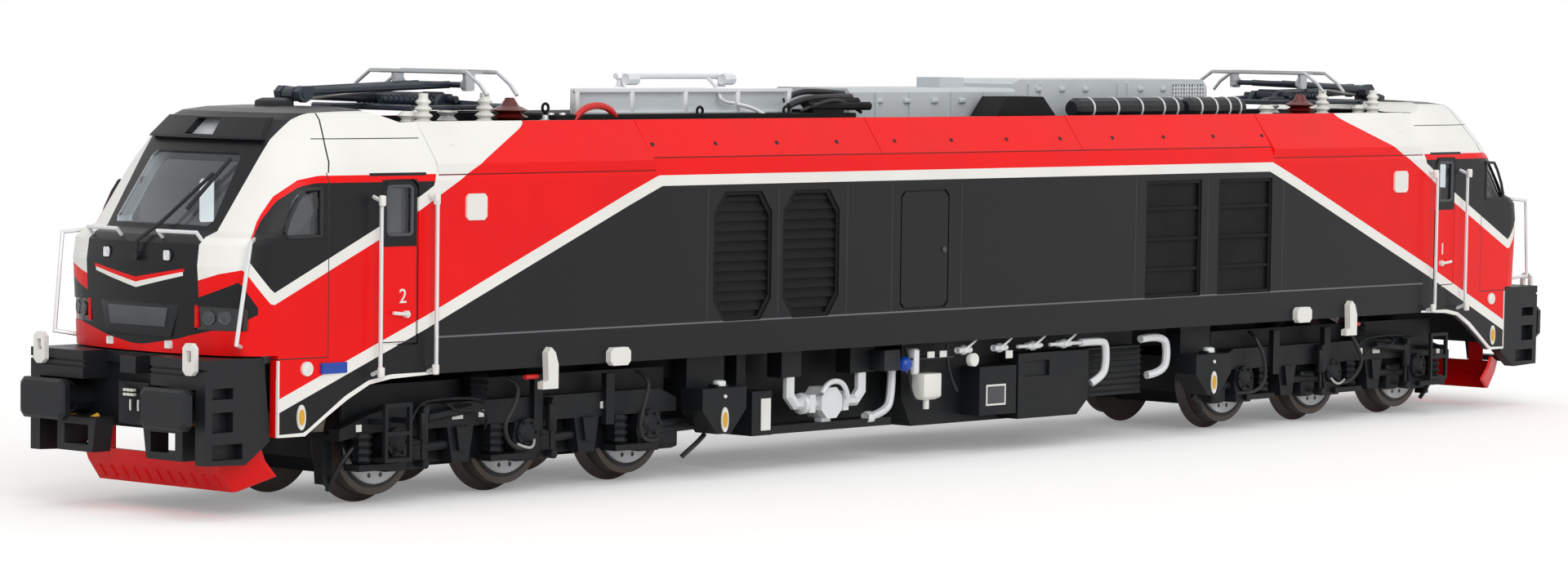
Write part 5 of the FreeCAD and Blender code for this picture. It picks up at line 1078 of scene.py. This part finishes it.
# %% Cooler fence
low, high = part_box("cooler_shroud")
west, east, front, back = low[0] / MM, high[0] / MM, low[1] / MM, high[1] / MM
foot, head = low[2] / MM - RAIL, high[2] / MM - RAIL
setback, face = 0.5, front + 0.7
core = block("cooler_fence", (west + setback, east - setback), (face, back), (foot, head - 0.25))
sliced(core, (west + setback, face, foot), (-0.707, 0.707, 0))
pitch = (east - west - 2 * setback) / 4
fence = []
for n in range(5):
    rib_x = west + setback + n * pitch
    rib = block("rib", (rib_x - 0.35, rib_x + 0.35), (front + 0.05, front + 1.0), (foot, head - 0.1))
    inset(rib, looks("-y"), 0.18, -0.06)
    fence.append(rib)
for rail in (block("rail", (west, east), (front, front + 0.5), (head - 0.45, head)),
             block("sill", (west + 0.2, east - 0.2), (front, front + 0.9), (foot, foot + 0.35))):
    inset(rail, looks("-y"), 0.12, 0.0)
    fence.append(rail)
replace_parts(done(core, pale_paint, rounded=0.08), "cooler_shroud")
done(joined(fence, "cooler_ribs"), silver_paint, rounded=0.06)
print("cooler fence:", round(east - west, 1), "mm long")

# %% [markdown]
# A clamp holds the high-voltage bar at each end, and cables link it to the cases. A clamp is an
# eight-sided drum, with every side face inset by itself to look machined.

# %% Bus clamps and roof cables
low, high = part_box("roof_bus")
bus_axis = high[2] / MM - RAIL - 0.75
for n, x in enumerate((low[0] / MM + 1.2, high[0] / MM - 1.2), 1):
    clamp = barrel(f"bus_clamp_{n}", (x - 1.0, 0, bus_axis), (x + 1.0, 0, bus_axis), 0.72, 8)
    inset(clamp, looks("x"), 0.2, 0.12)
    pick(clamp, lambda c, n: abs(n.x) < 0.1)
    bpy.ops.mesh.inset(thickness=0.12 * MM, depth=0.0, use_individual=True)
    done(clamp, silver_paint, rounded=0.05)
cables = {
    "bus_drop": (0.22, [(-35.0, -0.3, 46.6), (-36.6, -3.0, 45.8), (-41.4, -7.9, 44.8), (-40.8, -8.0, 43.9),
                         (-38.8, -8.0, 43.8)]),
    "bus_cable": (0.24, [(-38.6, -8.2, 43.7), (-36.8, -8.9, 43.4), (-35.2, -9.8, 42.4),
                         (-34.4, -11.0, 41.6)]),
    "roof_cable_1": (0.42, [(-29.2, -8.4, 43.4), (-27.0, -8.4, 44.3), (-21.0, -8.2, 44.5),
                            (-16.4, -7.4, 44.5)]),
    "roof_cable_2": (0.36, [(-28.6, -6.8, 44.0), (-26.0, -6.6, 45.2), (-20.0, -6.4, 45.1),
                            (-16.0, -5.8, 44.9)]),
    "roof_cable_3": (0.22, [(-28.4, -9.6, 42.8), (-24.6, -9.9, 44.0), (-20.0, -9.4, 44.2),
                            (-16.0, -8.8, 42.6)]),
}
for name, (radius, points) in cables.items():
    done(wire(name, points, radius), silver_paint if name.startswith("bus") else rubber)
print("roof cables:", len(cables))

# %% [markdown]
# Two white post insulators stand on the roof edge beside each pantograph. Each grows out of one
# low disc: its top is extruded and scaled out and in again for every shed.

# %% Post insulators at the roof edge
for name, x, y in (("edge_insulator", 93.4, -10.0), ("inner_insulator", 82.6, -9.0)):
    post = barrel(name, (x, y, 41.15), (x, y, 41.5), 0.85, 16)
    pick(post, looks("+z"))
    for climb, scale in 4 * ((0.25, 1.45), (0.12, 1.0), (0.3, 0.62), (0.12, 1.0)) + ((0.5, 1.0),):
        bpy.ops.mesh.extrude_region_move(TRANSFORM_OT_translate={"value": (0, 0, climb * MM)})
        bpy.ops.transform.resize(value=(scale, scale, 1))
    mirrored(done(post, white_glaze, angle=50), ENDS)
print("post insulators: 4")

# %% [markdown]
# The long case ends in a fine mesh. A grid is stretched to the size of the opening, and the
# Wireframe modifier turns its edges into wires. The mesh is coarser than the real one, which
# wouldn't show.

# %% Mesh screen
mesh_middle = at(56.7, -5.05, 44.2)
deselect()
bpy.ops.mesh.primitive_grid_add(x_subdivisions=12, y_subdivisions=7, size=MM, location=mesh_middle,
                                rotation=(math.pi / 2, 0, 0))
screen = placed("mesh_screen")
pick(screen)
bpy.ops.transform.resize(value=(7.4, 1, 3.6), center_override=mesh_middle)
bpy.ops.object.mode_set(mode="OBJECT")
wires = screen.modifiers.new("wires", "WIREFRAME")
wires.thickness = 0.18 * MM
bpy.ops.object.modifier_apply(modifier=wires.name)
done(screen, silver_paint)
print("mesh screen faces:", len(screen.data.polygons))

# %% [markdown]
# The roof cases have lifting eyes, latches and a small valve block. The eyes are rings and stand
# upright; the block is four open tubes joined by a bridge.

# %% Lifting eyes, valve block and latches
for n, (x, z) in enumerate(((-72.5, 42.9 + 0.5), (-45.9, 42.9), (-30.2, 42.9)), 1):
    deselect()
    bpy.ops.mesh.primitive_torus_add(major_segments=20, minor_segments=8, major_radius=0.5 * MM,
                                     minor_radius=0.17 * MM, location=at(x, tank_y, z),
                                     rotation=(math.pi / 2, 0, 0))
    done(placed(f"lifting_eye_{n}"), mesh_black)
tubes = []
for n in range(4):
    x = -73.2 + 0.95 * n
    tubes.append(barrel("valve_tube", (x, -9.6, 41.2), (x, -9.6, 42.6 + 0.25 * (n % 2)), 0.36, 12))
    inset(tubes[-1], looks("+z"), 0.12, 0.12)
bridge = block("bridge", (-73.6, -69.9), (-10.1, -9.1), (41.6, 42.1))
inset(bridge, looks("-y"), 0.15, 0.05)
done(joined(tubes + [bridge], "roof_valve_block"), silver_paint, rounded=0.05)
for word, places, half, y, z in (("duct", (-9.0, -3.5, 2.0, 7.5, 13.0), 0.6, (-5.95, -5.5), (43.6, 44.2)),
                                 ("case", (24.0, 29.0, 34.0, 46.0, 51.0), 0.5, (-5.3, -4.9), (45.0, 45.6))):
    plates({f"{word}_latch_{n}": ((x - half, x + half), y, z, 0.15, -0.1, pale_paint, 0.08)
            for n, x in enumerate(places, 1)}, "-y", ())
print("latches: 10")

# %% [markdown]
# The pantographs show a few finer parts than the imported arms: the return spring beside the lower
# arm, the thin guide rod under the upper arm and the carbon strips on the head. Each rides on the
# arm it is fixed to, so it moves with it.

# %% Pantograph details
spring_y, turns = 1.9, 10
(start_x, start_z), (end_x, end_z) = (84.0, 44.0), (92.5, 44.35)
coil = [wire("coil", [(start_x, spring_y, start_z), (88.0, spring_y, 44.2), (end_x, spring_y, end_z)], 0.42)]
for n in range(turns):
    share = (n + 0.5) / turns
    x, z = start_x + share * (end_x - start_x), start_z + share * (end_z - start_z)
    coil.append(barrel("turn", (x - 0.16, spring_y, z), (x + 0.16, spring_y, z), 0.52, 12))
mirrored(done(joined(coil, "return_spring"), panto_lacquer, "panto_lower_1"))
plates({f"carbon_strip_{n}": ((x - 0.3, x + 0.3), (-6.8, 6.8), (47.56, 47.69), 0.12, -0.03, grey_abs, 0.0)
        for n, x in enumerate((79.65, 84.55), 1)}, "+z", ENDS, "panto_head_1")
rod = wire("guide_rod", [(102.6, -0.6, 44.4), (95.0, -0.9, 45.0), (86.0, -1.4, 45.6)], 0.14)
mirrored(done(rod, nickel, "panto_upper_1"), ENDS)
print("spring turns:", turns)

# %% [markdown]
# The Standard view shows a colour as it was typed.

# %% View settings
bpy.context.scene.view_settings.view_transform = "Standard"
